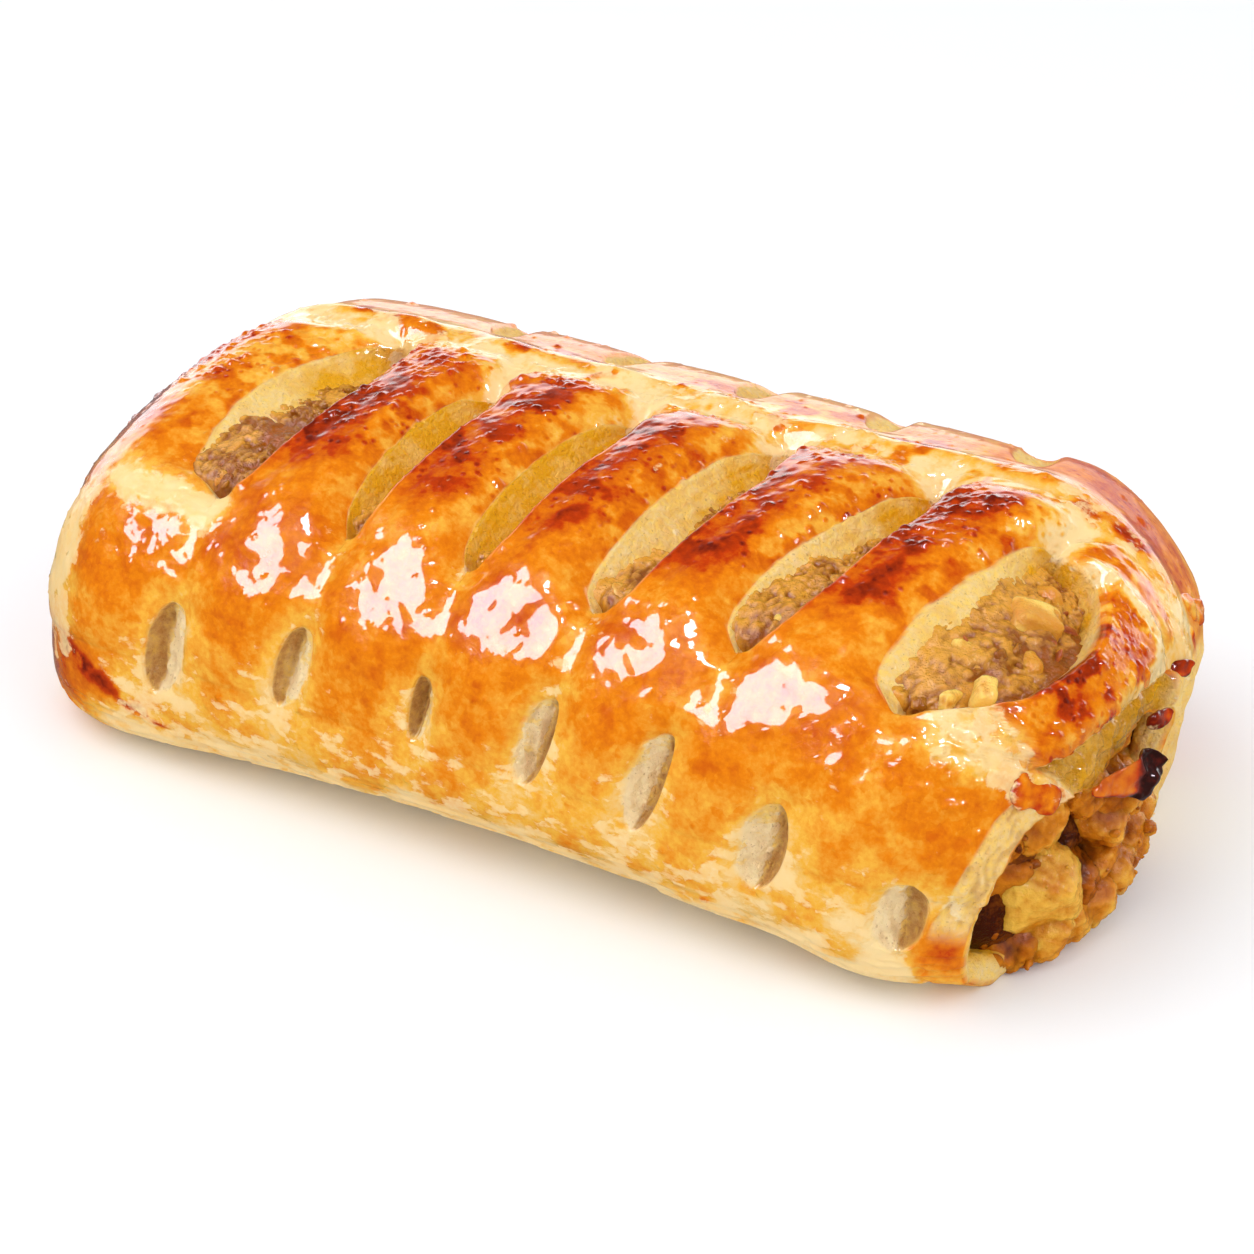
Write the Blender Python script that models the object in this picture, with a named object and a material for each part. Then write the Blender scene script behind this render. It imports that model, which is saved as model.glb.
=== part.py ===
"""Apple strudel: a puff pastry parcel, slit in rows, baked round an apple filling that spills
from one open end.

Frame: metres, +Z up. X runs along the parcel to its open end, -Y is the front long side and the
origin is on the resting plane under the middle. The outer form is a rounded loaf. The crust is
that loaf less its cavity, its mouth and its slits. The filling is the cavity less a hair of
clearance, with diced apple heaped in the mouth. A scorched curl of pastry lies on the heap.
"""

import math

import bmesh
import bpy
import numpy as np
from mathutils import Euler, Matrix, Vector

# Driving dimensions.
LENGTH = 0.150  # straight length of the parcel, before its open end bulges
WIDTH = 0.087
HEIGHT = 0.0466
END_RADIUS = 0.020  # rounding of both ends into the sides and the top
MOUTH_BULGE = 0.0072  # how far the middle of the open end stands out
LEAN = 0.0032  # how far the top leans to the back
TAPER = 0.0036  # how much lower the closed end is than the middle
TAPER_START = 0.028  # distance from the middle at which the parcel begins to taper
CRUST = 0.0050  # thickness of the puffed pastry
BASE_CRUST = 0.0035
CLEARANCE = 0.0004  # between the crust and what lies in it
SWELL = 0.0020  # how far the strips between the slits puff up

# The section of the loaf is two superellipses that meet at the belt.
BELT = 0.42  # height of the belt, as a share of the loaf's height
CROWN_POWER = 2.45
BASE_POWER = 3.6
BASE_DROP = 1.12  # the lower curve's depth over the belt's height, so that the base is cut flat

# Slits: (x at the lower end, x at the upper end, width), in order along the parcel.
CROWN_SLITS = (
    (-0.0430, -0.0370, 0.0098),
    (-0.0195, -0.0180, 0.0080),
    (0.0000, 0.0030, 0.0062),
    (0.0185, 0.0235, 0.0068),
    (0.0395, 0.0445, 0.0074),
    (0.0610, 0.0680, 0.0140),
)
REAR_SLITS = tuple((low + 0.0100, high + 0.0080, 0.0066) for low, high, _ in CROWN_SLITS[:5])
CROWN_ARC = (36, 104)  # degrees round the section, from the lower end to the upper one
REAR_ARC = (152, 122)
# Side slits: (x, lowest angle, highest angle, width).
SIDE_SLITS = (
    (-0.0457, -8, 13, 0.0062),
    (-0.0237, -1, 15, 0.0052),
    (-0.0040, 1, 13, 0.0026),
    (0.0130, 0, 16, 0.0044),
    (0.0305, -2, 16, 0.0046),
    (0.0470, -6, 10, 0.0062),
    (0.0640, -11, 4, 0.0066),
)
END_GAP = (0.0745, 30, 0.0745, 88, 0.0052)  # the torn slit over the mouth, as slit_paths has it

# The mouth is a straight hole with this half width and height. The base ends at a curved sill,
# this far along at its sides and this much further where it reaches out most, a little in front
# of the middle. The heap of dice follows the sill.
MOUTH_HALF = 0.0315
MOUTH_TOP = 0.0270
MOUTH_DEPTH = 0.022
MOUTH_FLARE = 1.04  # the mouth's width at its base, over its width higher up
SILL_SIDE = 0.0540
SILL_BULGE = 0.0185
SILL_Y = -0.0040

RINGS = 46
INNER_RINGS = 24
POINTS_ROUND = 36
CAP_MARGIN = 0.0004  # a loaf's end caps stop this far short of its full length
CUT_PAST = 0.020  # how far the mouth's cutters run past the open end

# The plug of filling in the mouth: (x from the open end, share of the mouth's half width, and
# share of its height) at each ring.
PLUG = ((-0.020, 0.85, 0.88), (0.0, 0.84, 0.86), (0.0045, 0.70, 0.70))
PLUG_POINTS = 16

DICE_SIZE = 0.0092
DICE_SEED = 5
CURL_LENGTH = 0.0120
CURL_WIDTH = 0.0060
CURL_THICK = 0.0022

PASTRY = ((0.72, 0.36, 0.10), 0.35)
FILLING = ((0.60, 0.38, 0.13), 0.45)
SCORCHED = ((0.16, 0.04, 0.015), 0.25)


def section(half_width, height, angle, floor=0.0):
    """(y, z) of the loaf's outline at an angle: 0 is the front, 90 degrees the top, 180 the back."""
    belt = BELT * height
    cos, sin = math.cos(angle), math.sin(angle)
    rise = height - belt if sin > 0 else belt * BASE_DROP
    power = CROWN_POWER if sin > 0 else BASE_POWER
    reach = ((abs(cos) / half_width) ** power + (abs(sin) / rise) ** power) ** (-1 / power)
    return -reach * cos, max(belt + reach * sin, floor)


def loaf_point(x, angle, inset=0.0, floor=0.0):
    """A point of the loaf's surface, or of the surface that lies inset inside it."""
    half_length = LENGTH / 2 - inset
    radius = END_RADIUS - inset
    past = max(abs(x) - (half_length - radius), 0.0)
    pull = radius - math.sqrt(max(radius**2 - past**2, 0.0))
    taper = TAPER * (max(-x - TAPER_START, 0.0) / (LENGTH / 2 - TAPER_START)) ** 2
    y, z = section(WIDTH / 2 - inset - pull - taper / 2, HEIGHT - inset - pull - taper, angle, floor)
    if x > 0:
        x += MOUTH_BULGE * (2 * x / LENGTH) ** 4 * (1 - (2 * y / WIDTH) ** 2)
    return Vector((x, y + LEAN * z / HEIGHT, z))


def loaf_normal(x, angle):
    """The outward normal of the loaf, from two short steps on its surface."""
    step_x, step_angle = 0.0004, 0.01
    along = loaf_point(x + step_x, angle) - loaf_point(x - step_x, angle)
    around = loaf_point(x, angle + step_angle) - loaf_point(x, angle - step_angle)
    return around.cross(along).normalized() * -1


def slit_paths():
    """Every slit as (x, angle, x, angle, width), from its lower end to its upper one."""
    found = [(a, CROWN_ARC[0], b, CROWN_ARC[1], w) for a, b, w in CROWN_SLITS]
    found += [(a, REAR_ARC[0], b, REAR_ARC[1], w) for a, b, w in REAR_SLITS]
    found += [(x - 0.0005, low, x + 0.0008, high, w) for x, low, high, w in SIDE_SLITS]
    found += [(x, 180 - low, x, 180 - high, w) for x, low, high, w in SIDE_SLITS[:6]]
    return found + [END_GAP]


def swell(x, angle):
    """How far the puffed crust stands off the plain loaf: full on a strip, nothing at a slit."""
    degrees = math.degrees(angle)
    sunk = 0.0
    for x_low, low, x_high, high, width in slit_paths():
        share = (degrees - low) / (high - low)
        beyond = max(-share, share - 1, 0.0) * abs(high - low) / 14
        centre = x_low + (x_high - x_low) * min(max(share, 0.0), 1.0)
        sunk = max(sunk, math.exp(-(((x - centre) / (0.9 * width)) ** 2) - beyond**2))
    crown = max(math.sin(angle), 0.0) ** 0.5
    end = min(max((LENGTH / 2 - abs(x)) / 0.012, 0.0), 1.0)
    return SWELL * crown * end * (1 - sunk)


def material(name, finish):
    """A plain Principled material of one colour."""
    colour, roughness = finish
    made = bpy.data.materials.new(name)
    made.use_nodes = True
    shader = made.node_tree.nodes["Principled BSDF"]
    shader.inputs["Base Color"].default_value = (*colour, 1)
    shader.inputs["Roughness"].default_value = roughness
    return made


def piece(name, bm, finish=None):
    """A mesh object from a bmesh. Without a finish it is a cutter, which isn't part of the model."""
    bmesh.ops.recalc_face_normals(bm, faces=bm.faces)
    mesh = bpy.data.meshes.new(name)
    bm.to_mesh(mesh)
    bm.free()
    made = bpy.data.objects.new(name, mesh)
    bpy.context.scene.collection.objects.link(made)
    if finish:
        mesh.materials.append(material(name, finish))
        mesh.shade_smooth()
        mesh.set_sharp_from_angle(angle=math.radians(35))
    else:
        made.hide_render = True
        made.display_type = "WIRE"
    return made


def loft(bm, rings):
    """A closed skin over equal rings of points, with a cap on each end."""
    rows = [[bm.verts.new(point) for point in ring] for ring in rings]
    for row, after in zip(rows, rows[1:]):
        for i in range(len(row)):
            j = (i + 1) % len(row)
            bm.faces.new((row[i], row[j], after[j], after[i]))
    bm.faces.new(reversed(rows[0]))
    bm.faces.new(rows[-1])


def combine(target, operation, cutters):
    """Cuts, or joins, every cutter in one exact Boolean, which takes them as a collection."""
    group = bpy.data.collections.new(f"{target.name}_{operation.lower()}")
    bpy.context.scene.collection.children.link(group)
    group.hide_render = True
    for cutter in cutters:
        bpy.context.scene.collection.objects.unlink(cutter)
        group.objects.link(cutter)
    modifier = target.modifiers.new(operation.title(), "BOOLEAN")
    modifier.operation = operation
    modifier.operand_type = "COLLECTION"
    modifier.collection = group
    modifier.solver = "EXACT"


def angles_round():
    return [2 * math.pi * i / POINTS_ROUND for i in range(POINTS_ROUND)]


def spaced(start, end, count):
    """Stations that crowd towards both ends, where the loaf turns fastest."""
    middle, half = (start + end) / 2, (end - start) / 2
    turns = [math.pi * (i / (count - 1) - 0.5) for i in range(count)]
    return [middle + half * (0.6 * math.sin(t) + 0.4 * t / (math.pi / 2)) for t in turns]


def outer_loaf():
    bm = bmesh.new()
    end = LENGTH / 2 - CAP_MARGIN
    rings = []
    for x in spaced(-end, end, RINGS):
        ring = []
        for angle in angles_round():
            point = loaf_point(x, angle)
            if point.z > BASE_CRUST:
                point += loaf_normal(x, angle) * swell(x, angle)
            ring.append(point)
        rings.append(ring)
    loft(bm, rings)
    return bm


def inner_loaf(inset, floor):
    """The cavity's form, or the filling's, which is set in a little further."""
    bm = bmesh.new()
    end = LENGTH / 2 - inset - CAP_MARGIN
    stations = spaced(-end, end, INNER_RINGS)
    loft(bm, [[loaf_point(x, a, inset, floor) for a in angles_round()] for x in stations])
    return bm


def mouth_hole():
    """The straight hole of the open end, round at the top and flat at the base."""
    bm = bmesh.new()
    steps = 14
    outline = [(-MOUTH_HALF * MOUTH_FLARE, BASE_CRUST)]
    for i in range(steps + 1):
        turn = math.pi * i / steps
        y = -MOUTH_HALF * math.copysign(abs(math.cos(turn)) ** 0.55, math.cos(turn))
        outline.append((y, MOUTH_TOP * (0.30 + 0.70 * math.sin(turn) ** 0.7)))
    outline.append((MOUTH_HALF * MOUTH_FLARE, BASE_CRUST))
    start, end = LENGTH / 2 - MOUTH_DEPTH, LENGTH / 2 + CUT_PAST
    loft(bm, [[Vector((x, y, z)) for y, z in outline] for x in (start, end)])
    return bm


def sill_x(y):
    """Where the base of the crust ends, under the heap: a shallow curve across the mouth."""
    return SILL_SIDE + SILL_BULGE * (1 - (2 * (y - SILL_Y) / WIDTH) ** 2)


def sill_cutter():
    """Takes the base of the crust away in front of the sill, as wide as the mouth."""
    bm = bmesh.new()
    steps = 10
    half, end = MOUTH_HALF * MOUTH_FLARE, LENGTH / 2 + CUT_PAST
    edge = [half * (2 * i / steps - 1) for i in range(steps + 1)]
    outline = [(sill_x(y), y) for y in edge] + [(end, half), (end, -half)]
    loft(bm, [[Vector((x, y, z)) for x, y in outline] for z in (-0.002, BASE_CRUST + 0.0010)])
    return bm


def slit_cutter(x_low, low, x_high, high, width):
    """A lens that follows the loaf: wide at the skin, narrow where it meets the filling."""
    bm = bmesh.new()
    stations = 9
    rings = []
    for i in range(stations):
        share = i / (stations - 1)
        x = x_low + (x_high - x_low) * share
        angle = math.radians(low + (high - low) * share)
        point, normal = loaf_point(x, angle), loaf_normal(x, angle)
        onward = loaf_point(x + (x_high - x_low) * 0.01, angle + math.radians(high - low) * 0.01)
        across = (onward - point).cross(normal).normalized()
        half = 0.5 * width * math.sin(math.pi * (0.04 + 0.92 * share)) ** 0.6
        levels = ((0.0045, 1.15), (0.0010, 1.0), (-0.0070, 0.5))
        sides = [point + normal * up + across * half * spread for up, spread in levels]
        sides += [point + normal * up - across * half * spread for up, spread in reversed(levels)]
        rings.append(sides)
    loft(bm, rings)
    return bm


def dice_centres():
    """Centres of the diced apple in the mouth, in rows that step out towards the floor."""
    rows = (
        # height, reach beyond the sill, half spread, count
        (0.0046, 0.0070, 0.0215, 5),
        (0.0108, 0.0058, 0.0195, 5),
        (0.0184, 0.0058, 0.0170, 4),
    )
    for height, reach, spread, count in rows:
        for i in range(count):
            y = spread * (2 * i / (count - 1) - 1) + SILL_Y
            yield Vector((sill_x(y) + reach, y, height))


def dice():
    """Rough cubes of apple, each turned and squeezed a little, to be joined to the filling."""
    rng = np.random.default_rng(DICE_SEED)
    made = []
    for number, centre in enumerate(dice_centres()):
        bm = bmesh.new()
        bmesh.ops.create_cube(bm, size=1)
        size = DICE_SIZE * rng.uniform(0.82, 1.12, 3)
        turned = Euler(rng.uniform(-0.6, 0.6, 3)).to_matrix().to_4x4()
        bmesh.ops.transform(bm, matrix=turned @ Matrix.Diagonal((*size, 1)), verts=bm.verts)
        bmesh.ops.bevel(bm, geom=bm.edges, offset=DICE_SIZE * 0.2, segments=1, affect="EDGES")
        lowest = min(vertex.co.z for vertex in bm.verts)
        lifted = Vector((centre.x, centre.y, max(centre.z, 0.0002 - lowest)))
        bmesh.ops.translate(bm, vec=lifted, verts=bm.verts)
        made.append(piece(f"dice_{number}", bm))
    return made


def pastry_crust():
    crust = piece("pastry_crust", outer_loaf(), PASTRY)
    forms = {"cavity": inner_loaf(CRUST, BASE_CRUST), "mouth": mouth_hole(), "sill": sill_cutter()}
    hollow = [piece(name, form) for name, form in forms.items()]
    slits = [piece(f"slit_{i}", slit_cutter(*path)) for i, path in enumerate(slit_paths())]
    combine(crust, "DIFFERENCE", hollow + slits)
    return crust


def apple_filling():
    """The cavity's content, a plug through the mouth and the dice heaped in front of it."""
    inset, floor = CRUST + CLEARANCE, BASE_CRUST + CLEARANCE
    filling = piece("apple_filling", inner_loaf(inset, floor), FILLING)
    bm = bmesh.new()
    plug = []
    for x, half, top in PLUG:
        ring = []
        for i in range(PLUG_POINTS):
            y, z = section(MOUTH_HALF * half, MOUTH_TOP * top, 2 * math.pi * i / PLUG_POINTS)
            ring.append(Vector((LENGTH / 2 + x, y, max(z, floor))))
        plug.append(ring)
    loft(bm, plug)
    combine(filling, "UNION", [piece("plug", bm)] + dice())
    return filling


def scorched_curl():
    """A curled, tapered flake of burnt pastry that rests on the heap in the mouth."""
    bm = bmesh.new()
    stations, points = 9, 8
    rings = []
    for i in range(stations):
        share = i / (stations - 1)
        bend = math.radians(-35 + 80 * share)
        rise = CURL_THICK * share**2
        middle = Vector((CURL_WIDTH / 4 * math.cos(bend * 2), CURL_LENGTH * (share - 0.5), rise))
        half = CURL_WIDTH / 2 * math.sin(math.pi * (0.12 + 0.70 * share))
        ring = []
        for j in range(points):
            turn = 2 * math.pi * j / points
            flat = Vector((half * math.cos(turn), 0, CURL_THICK / 2 * math.sin(turn)))
            ring.append(middle + Matrix.Rotation(bend / 2, 3, "Y") @ flat)
        rings.append(ring)
    loft(bm, rings)
    made = piece("scorched_curl", bm, SCORCHED)
    made.location = (LENGTH / 2 + 0.0060, -0.0118, 0.0241)
    made.rotation_euler = (math.radians(-6), math.radians(24), math.radians(-18))
    return made


def main():
    for old in list(bpy.data.objects):
        bpy.data.objects.remove(old)
    parcel = bpy.data.objects.new("apple_strudel", None)
    bpy.context.scene.collection.objects.link(parcel)
    for made in (pastry_crust(), apple_filling(), scorched_curl()):
        made.parent = parcel


if __name__ == "__main__":
    main()
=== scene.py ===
"""The looks of an apple strudel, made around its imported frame.

The crust is one surface in the two parameters of the loaf: the distance along it and the angle
round it. It folds down into each slit, and is made in slices that meet in the slits, so that every
slice is a closed shell of its own. The filling is mash in the slits and a heap of diced apple in
the open end. All lengths are in metres, in the frame's axes: X along the parcel to its open end,
-Y to the front and Z up.
"""

import math

import bpy
import numpy as np
from bpy.props import FloatProperty, FloatVectorProperty, PointerProperty
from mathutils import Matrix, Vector


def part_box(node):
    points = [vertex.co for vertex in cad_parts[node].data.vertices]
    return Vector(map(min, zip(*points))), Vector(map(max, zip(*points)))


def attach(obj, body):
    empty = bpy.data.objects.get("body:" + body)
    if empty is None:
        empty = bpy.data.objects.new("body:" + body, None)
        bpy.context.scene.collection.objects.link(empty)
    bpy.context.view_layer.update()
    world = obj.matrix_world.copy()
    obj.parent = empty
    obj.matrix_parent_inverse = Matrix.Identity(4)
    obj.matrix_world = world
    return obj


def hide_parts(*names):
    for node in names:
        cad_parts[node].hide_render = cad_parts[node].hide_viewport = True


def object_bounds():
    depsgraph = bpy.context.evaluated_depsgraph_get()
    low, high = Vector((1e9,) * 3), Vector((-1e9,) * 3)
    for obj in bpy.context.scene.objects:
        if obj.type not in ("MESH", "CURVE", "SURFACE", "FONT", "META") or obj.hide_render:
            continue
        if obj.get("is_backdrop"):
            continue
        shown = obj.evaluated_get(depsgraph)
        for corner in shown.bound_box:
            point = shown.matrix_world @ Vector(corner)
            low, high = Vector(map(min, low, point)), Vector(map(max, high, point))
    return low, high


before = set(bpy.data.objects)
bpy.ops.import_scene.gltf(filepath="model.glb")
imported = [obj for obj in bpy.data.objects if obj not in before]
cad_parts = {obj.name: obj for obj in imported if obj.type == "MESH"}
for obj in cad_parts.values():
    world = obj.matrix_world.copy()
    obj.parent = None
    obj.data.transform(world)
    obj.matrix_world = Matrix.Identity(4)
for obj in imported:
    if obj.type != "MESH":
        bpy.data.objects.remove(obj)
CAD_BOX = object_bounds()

bl_info = {
    "name": "Apple Strudel",
    "version": (1, 0, 0),
    "blender": (4, 5, 0),
    "location": "View3D > Sidebar > Strudel",
    "description": "Builds a glazed apple strudel with its filling around the packed frame",
    "category": "Object",
}

MM = 0.001
CRUST_LOW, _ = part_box("pastry_crust")

# The loaf's section is two superellipses that meet at the belt, as in the frame's solids.
BELT = 0.42
CROWN_POWER = 2.45
BASE_POWER = 3.6
BASE_DROP = 1.12
LEAN = 3.2 * MM
TAPER = 3.6 * MM
TAPER_START = 28 * MM
MOUTH_BULGE = 7.2 * MM
INNER = 6.0 * MM  # depth of the hidden inner skin of the crust


# Settings --------------------------------------------------------------------------------------


def length(name, description, default):
    """A length property."""
    return FloatProperty(name=name, description=description, default=default, unit="LENGTH", precision=4)


def amount(name, description, default):
    """A plain number property."""
    return FloatProperty(name=name, description=description, default=default)


def colour(name, description, default):
    """A colour property, stated as sRGB from 0 to 255 and kept as linear light."""
    share = np.array(default) / 255
    linear = np.where(share <= 0.04045, share / 12.92, ((share + 0.055) / 1.055) ** 2.4)
    return FloatVectorProperty(
        name=name, description=description, subtype="COLOR", size=3, min=0, max=1, default=linear.tolist()
    )


class StrudelShape(bpy.types.PropertyGroup):
    """Sizes of the pastry parcel."""

    long: length("Length", "Straight length, before the open end bulges", 2 * (0.3 * MM - CRUST_LOW.x))
    wide: length("Width", "Width across the sides", 87 * MM)
    tall: length("Height", "Height, before the strips puff up", 46.6 * MM)
    end_radius: length("End radius", "Rounding of both ends", 20 * MM)
    swell: length("Swell", "How far the strips puff up", 2.0 * MM)
    crown_depth: length("Crown slit depth", "Depth of the slits in the crown", 5.4 * MM)
    side_depth: length("Side slit depth", "Depth of the slits in the sides", 2.5 * MM)
    blister: length("Blister height", "Height of the largest blisters in the glaze", 0.42 * MM)


class StrudelBake(bpy.types.PropertyGroup):
    """Colours of the pastry and the filling."""

    cream: colour("Cream", "Dough that the oven hardly browned", (250, 218, 156))
    golden: colour("Golden", "Lightly baked dough under glaze", (247, 184, 66))
    amber: colour("Amber", "Glazed crust", (235, 132, 6))
    caramel: colour("Caramel", "Well baked glaze", (196, 60, 2))
    burnt: colour("Burnt", "Blister tops and dark patches", (112, 24, 3))
    dough: colour("Dough", "Cut dough in the slits", (255, 212, 104))
    pith: colour("Pith", "Torn layers of dry dough", (252, 226, 178))
    apple: colour("Apple", "Stewed apple", (216, 130, 22))
    wet_dough: colour("Wet dough", "Cut dough soaked by the filling", (240, 172, 8))
    # Dim dough is painted shade: the shade field lays it in the side slits, under the last strip, between the
    # layers of the cut rim and at the foot of the crown slits' steep walls.
    dim: colour("Dim dough", "Cut dough in the shade of a side slit", (186, 126, 62))
    flesh: colour("Flesh", "Pale apple flesh", (252, 196, 78))
    stewed: colour("Stewed", "Apple browned by its syrup", (178, 92, 10))
    mash: colour("Mash", "Apple mash in the slits", (226, 160, 52))
    mash_dark: colour("Dark mash", "Mash in the shade of a slit", (150, 82, 10))
    peel: colour("Peel", "Bits of apple peel", (172, 84, 36))
    # Syrup is also where the heap's painted shade runs to, deep in the heap and in its creases.
    syrup: colour("Syrup", "Brown syrup between the dice", (66, 18, 3))
    char: colour("Char", "Scorched pastry", (52, 14, 8))


class StrudelStage(bpy.types.PropertyGroup):
    """The studio."""

    azimuth: amount("Azimuth", "Camera direction in degrees from the front to the open end", 28.8)
    elevation: amount("Elevation", "Camera height in degrees over the floor", 31.8)
    distance: length("Distance", "From the camera to its target", 383.7 * MM)
    focal: amount("Focal length", "Focal length on a 36 mm sensor", 77.5)
    softbox: amount("Softbox", "Radiance of the softbox in reflections", 13.0)
    key: amount("Key", "Radiance of the lamp on matt surfaces", 2.2)
    fill: amount("Fill", "Radiance of the lamp that fills the shade at the open end", 1.15)
    ambient: amount("Ambient", "Radiance of the room on matt surfaces", 0.82)
    glints: amount("Glints", "Radiance of the two small lamps in reflections", 48.0)
    backdrop: amount("Backdrop", "Radiance of the backdrop in reflections", 2.0)


def sizes():
    """The sizes that the panel shows."""
    return bpy.context.scene.strudel_shape


def bake():
    """The colours that the panel shows."""
    return bpy.context.scene.strudel_bake

# Noise. Sizes of noise are in millimetres, and points in metres. ---------------------------------


def scatter(cells, seed):
    """A repeatable number from 0 to 1 for each row of whole numbers: their products with odd
    numbers are joined by exclusive or, and the bits are then mixed by shifts and products."""
    mixed = np.full(cells.shape[:-1], (seed * 2654435761) & 0xFFFFFFFF, np.uint32)
    for axis, factor in zip(range(cells.shape[-1]), (73856093, 19349663, 83492791)):
        mixed = mixed ^ (cells[..., axis].astype(np.int64) * factor).astype(np.uint32)
    for shift, factor in ((15, 0x85EBCA6B), (13, 0xC2B2AE35), (16, 1)):
        mixed = (mixed ^ (mixed >> np.uint32(shift))) * np.uint32(factor)
    return mixed / 4294967296.0


def random_rows(count, width, seed):
    """Repeatable numbers from 0 to 1, in rows."""
    cells = np.stack(np.meshgrid(np.arange(count), np.arange(width), indexing="ij"), -1)
    return scatter(cells, seed)


def turn_about(seed):
    """A fixed rotation for each seed, so that no two layers of noise share their axes."""
    a, b = 0.7 + 1.3 * seed, 0.4 + 2.1 * seed
    ca, sa, cb, sb = math.cos(a), math.sin(a), math.cos(b), math.sin(b)
    return np.array(((ca, -sa, 0), (sa * cb, ca * cb, -sb), (sa * sb, ca * sb, cb)))


def noise(points, size, seed):
    """Smooth noise from -1 to 1: random values at the corners of cubes of that size, blended by
    6t^5 - 15t^4 + 10t^3 along each axis."""
    scaled = (points / (size * MM)) @ turn_about(seed).T + 17.3 * seed
    cell = np.floor(scaled)
    t = scaled - cell
    t = t * t * t * (t * (t * 6 - 15) + 10)
    cell = cell.astype(np.int64)
    total = np.zeros(points.shape[:-1])
    for corner in np.ndindex(2, 2, 2):
        weight = np.prod(np.where(corner, t, 1 - t), axis=-1)
        total += weight * scatter(cell + np.array(corner), seed)
    return 2 * total - 1


def clouds(points, size, octaves, seed):
    """Layers of noise, each half the size and half the height of the last, from about -1 to 1."""
    total = sum(noise(points, size / 2**i, seed + i) / 2**i for i in range(octaves))
    return total / (2 - 2 ** (1 - octaves)) * 1.4


def near_cells(scaled, sway, seed):
    """The square or cubic cells round each point, and each one's random centre, which strays from
    its middle by up to half the sway."""
    cell = np.floor(scaled).astype(np.int64)
    axes = scaled.shape[-1]
    for step in np.ndindex((3,) * axes):
        near = cell + np.array(step) - 1
        stray = np.stack([scatter(near, seed + i) for i in range(axes)], -1) - 0.5
        yield near, near + 0.5 + sway * stray


def domes(flat, size, share, seed):
    """Blisters on a sheet. Each cell holds one round dome with the given chance; its height falls
    from 1 at its middle as (1 - r^2)^1.5. Returns the height and the dome's random number."""
    scaled = flat / (size * MM)
    best = np.zeros(flat.shape[:-1])
    chosen = np.zeros(flat.shape[:-1])
    for near, centre in near_cells(scaled, 0.7, seed):
        pick = scatter(near, seed + 2)
        radius = 0.22 + 0.34 * scatter(near, seed + 3) ** 1.5
        reach = np.linalg.norm(scaled - centre, axis=-1) / radius
        dome = np.clip(1 - reach**2, 0, 1) ** 1.5 * (radius / 0.5) * (pick < share)
        chosen = np.where(dome > best, scatter(near, seed + 4), chosen)
        best = np.maximum(best, dome)
    return best, chosen


def cobbles(flat, size, seed):
    """Packed lumps on a sheet: the greatest of 1 - (distance to a centre / its reach)^2 over the
    cells' centres, so that the lumps meet in creases."""
    scaled = flat / (size * MM)
    best = np.full(flat.shape[:-1], -1.0)
    for near, centre in near_cells(scaled, 0.8, seed):
        reach = 0.55 + 0.55 * scatter(near, seed + 2)
        best = np.maximum(best, 1 - (np.linalg.norm(scaled - centre, axis=-1) / reach) ** 2)
    return best


def cobble_solid(points, size, seed):
    """Packed round grains in space: 1 less twice the squared distance to the nearest centre."""
    scaled = points / (size * MM)
    nearest = np.full(points.shape[:-1], 9.0)
    for _, centre in near_cells(scaled, 0.8, seed):
        nearest = np.minimum(nearest, ((scaled - centre) ** 2).sum(-1))
    return 1 - 2 * nearest


def smooth(value, low, high):
    """0 below low, 1 above high, and 3t^2 - 2t^3 between them."""
    t = np.clip((value - low) / (high - low), 0, 1)
    return t * t * (3 - 2 * t)


def bell(value, centre, half):
    """1 at the centre and 1/e at half on each side of it."""
    return np.exp(-(((value - centre) / half) ** 2))


def between(value, low, high, soft):
    """1 inside a range with soft edges, and 0 outside it."""
    return smooth(value, low - soft, low + soft) * (1 - smooth(value, high - soft, high + soft))


def path_through(at, knots):
    """Values at given angles of a path through (angle, value) knots, eased between them."""
    knots = np.array(knots, float)
    index = np.clip(np.searchsorted(knots[:, 0], at, side="right") - 1, 0, len(knots) - 2)
    low, high = knots[index], knots[index + 1]
    return low[..., 1] + (high[..., 1] - low[..., 1]) * smooth(at, low[..., 0], high[..., 0])


def unit(vectors):
    """Each vector over its length."""
    return vectors / np.maximum(np.linalg.norm(vectors, axis=-1, keepdims=True), 1e-12)


# Meshes ------------------------------------------------------------------------------------------


def fill_mesh(mesh, points, faces):
    """Puts vertices and faces, as rows of four indices, into a mesh. A row that names one vertex
    twice becomes a triangle, and one that names fewer than three is left out."""
    faces = faces.reshape(-1, 4)
    same = faces == np.roll(faces, -1, axis=1)
    keep = ~same
    count = keep.sum(1)
    faces, keep = faces[count > 2], keep[count > 2]
    count = keep.sum(1)
    mesh.vertices.add(len(points))
    mesh.vertices.foreach_set("co", points.astype(np.float32).ravel())
    mesh.loops.add(int(count.sum()))
    mesh.loops.foreach_set("vertex_index", faces[keep].astype(np.int32))
    mesh.polygons.add(len(count))
    starts = np.concatenate(((0,), np.cumsum(count)[:-1]))
    mesh.polygons.foreach_set("loop_start", starts.astype(np.int32))
    mesh.update(calc_edges=True)
    mesh.validate()


def grid_faces(rows, columns, wrap_rows, wrap_columns):
    """Rows of four indices for a grid, which may close on itself along either direction."""
    i = np.arange(rows if wrap_rows else rows - 1)
    j = np.arange(columns if wrap_columns else columns - 1)
    i, j = np.meshgrid(i, j, indexing="ij")
    i2, j2 = (i + 1) % rows, (j + 1) % columns
    return np.stack((i * columns + j, i * columns + j2, i2 * columns + j2, i2 * columns + j), -1)


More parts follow.
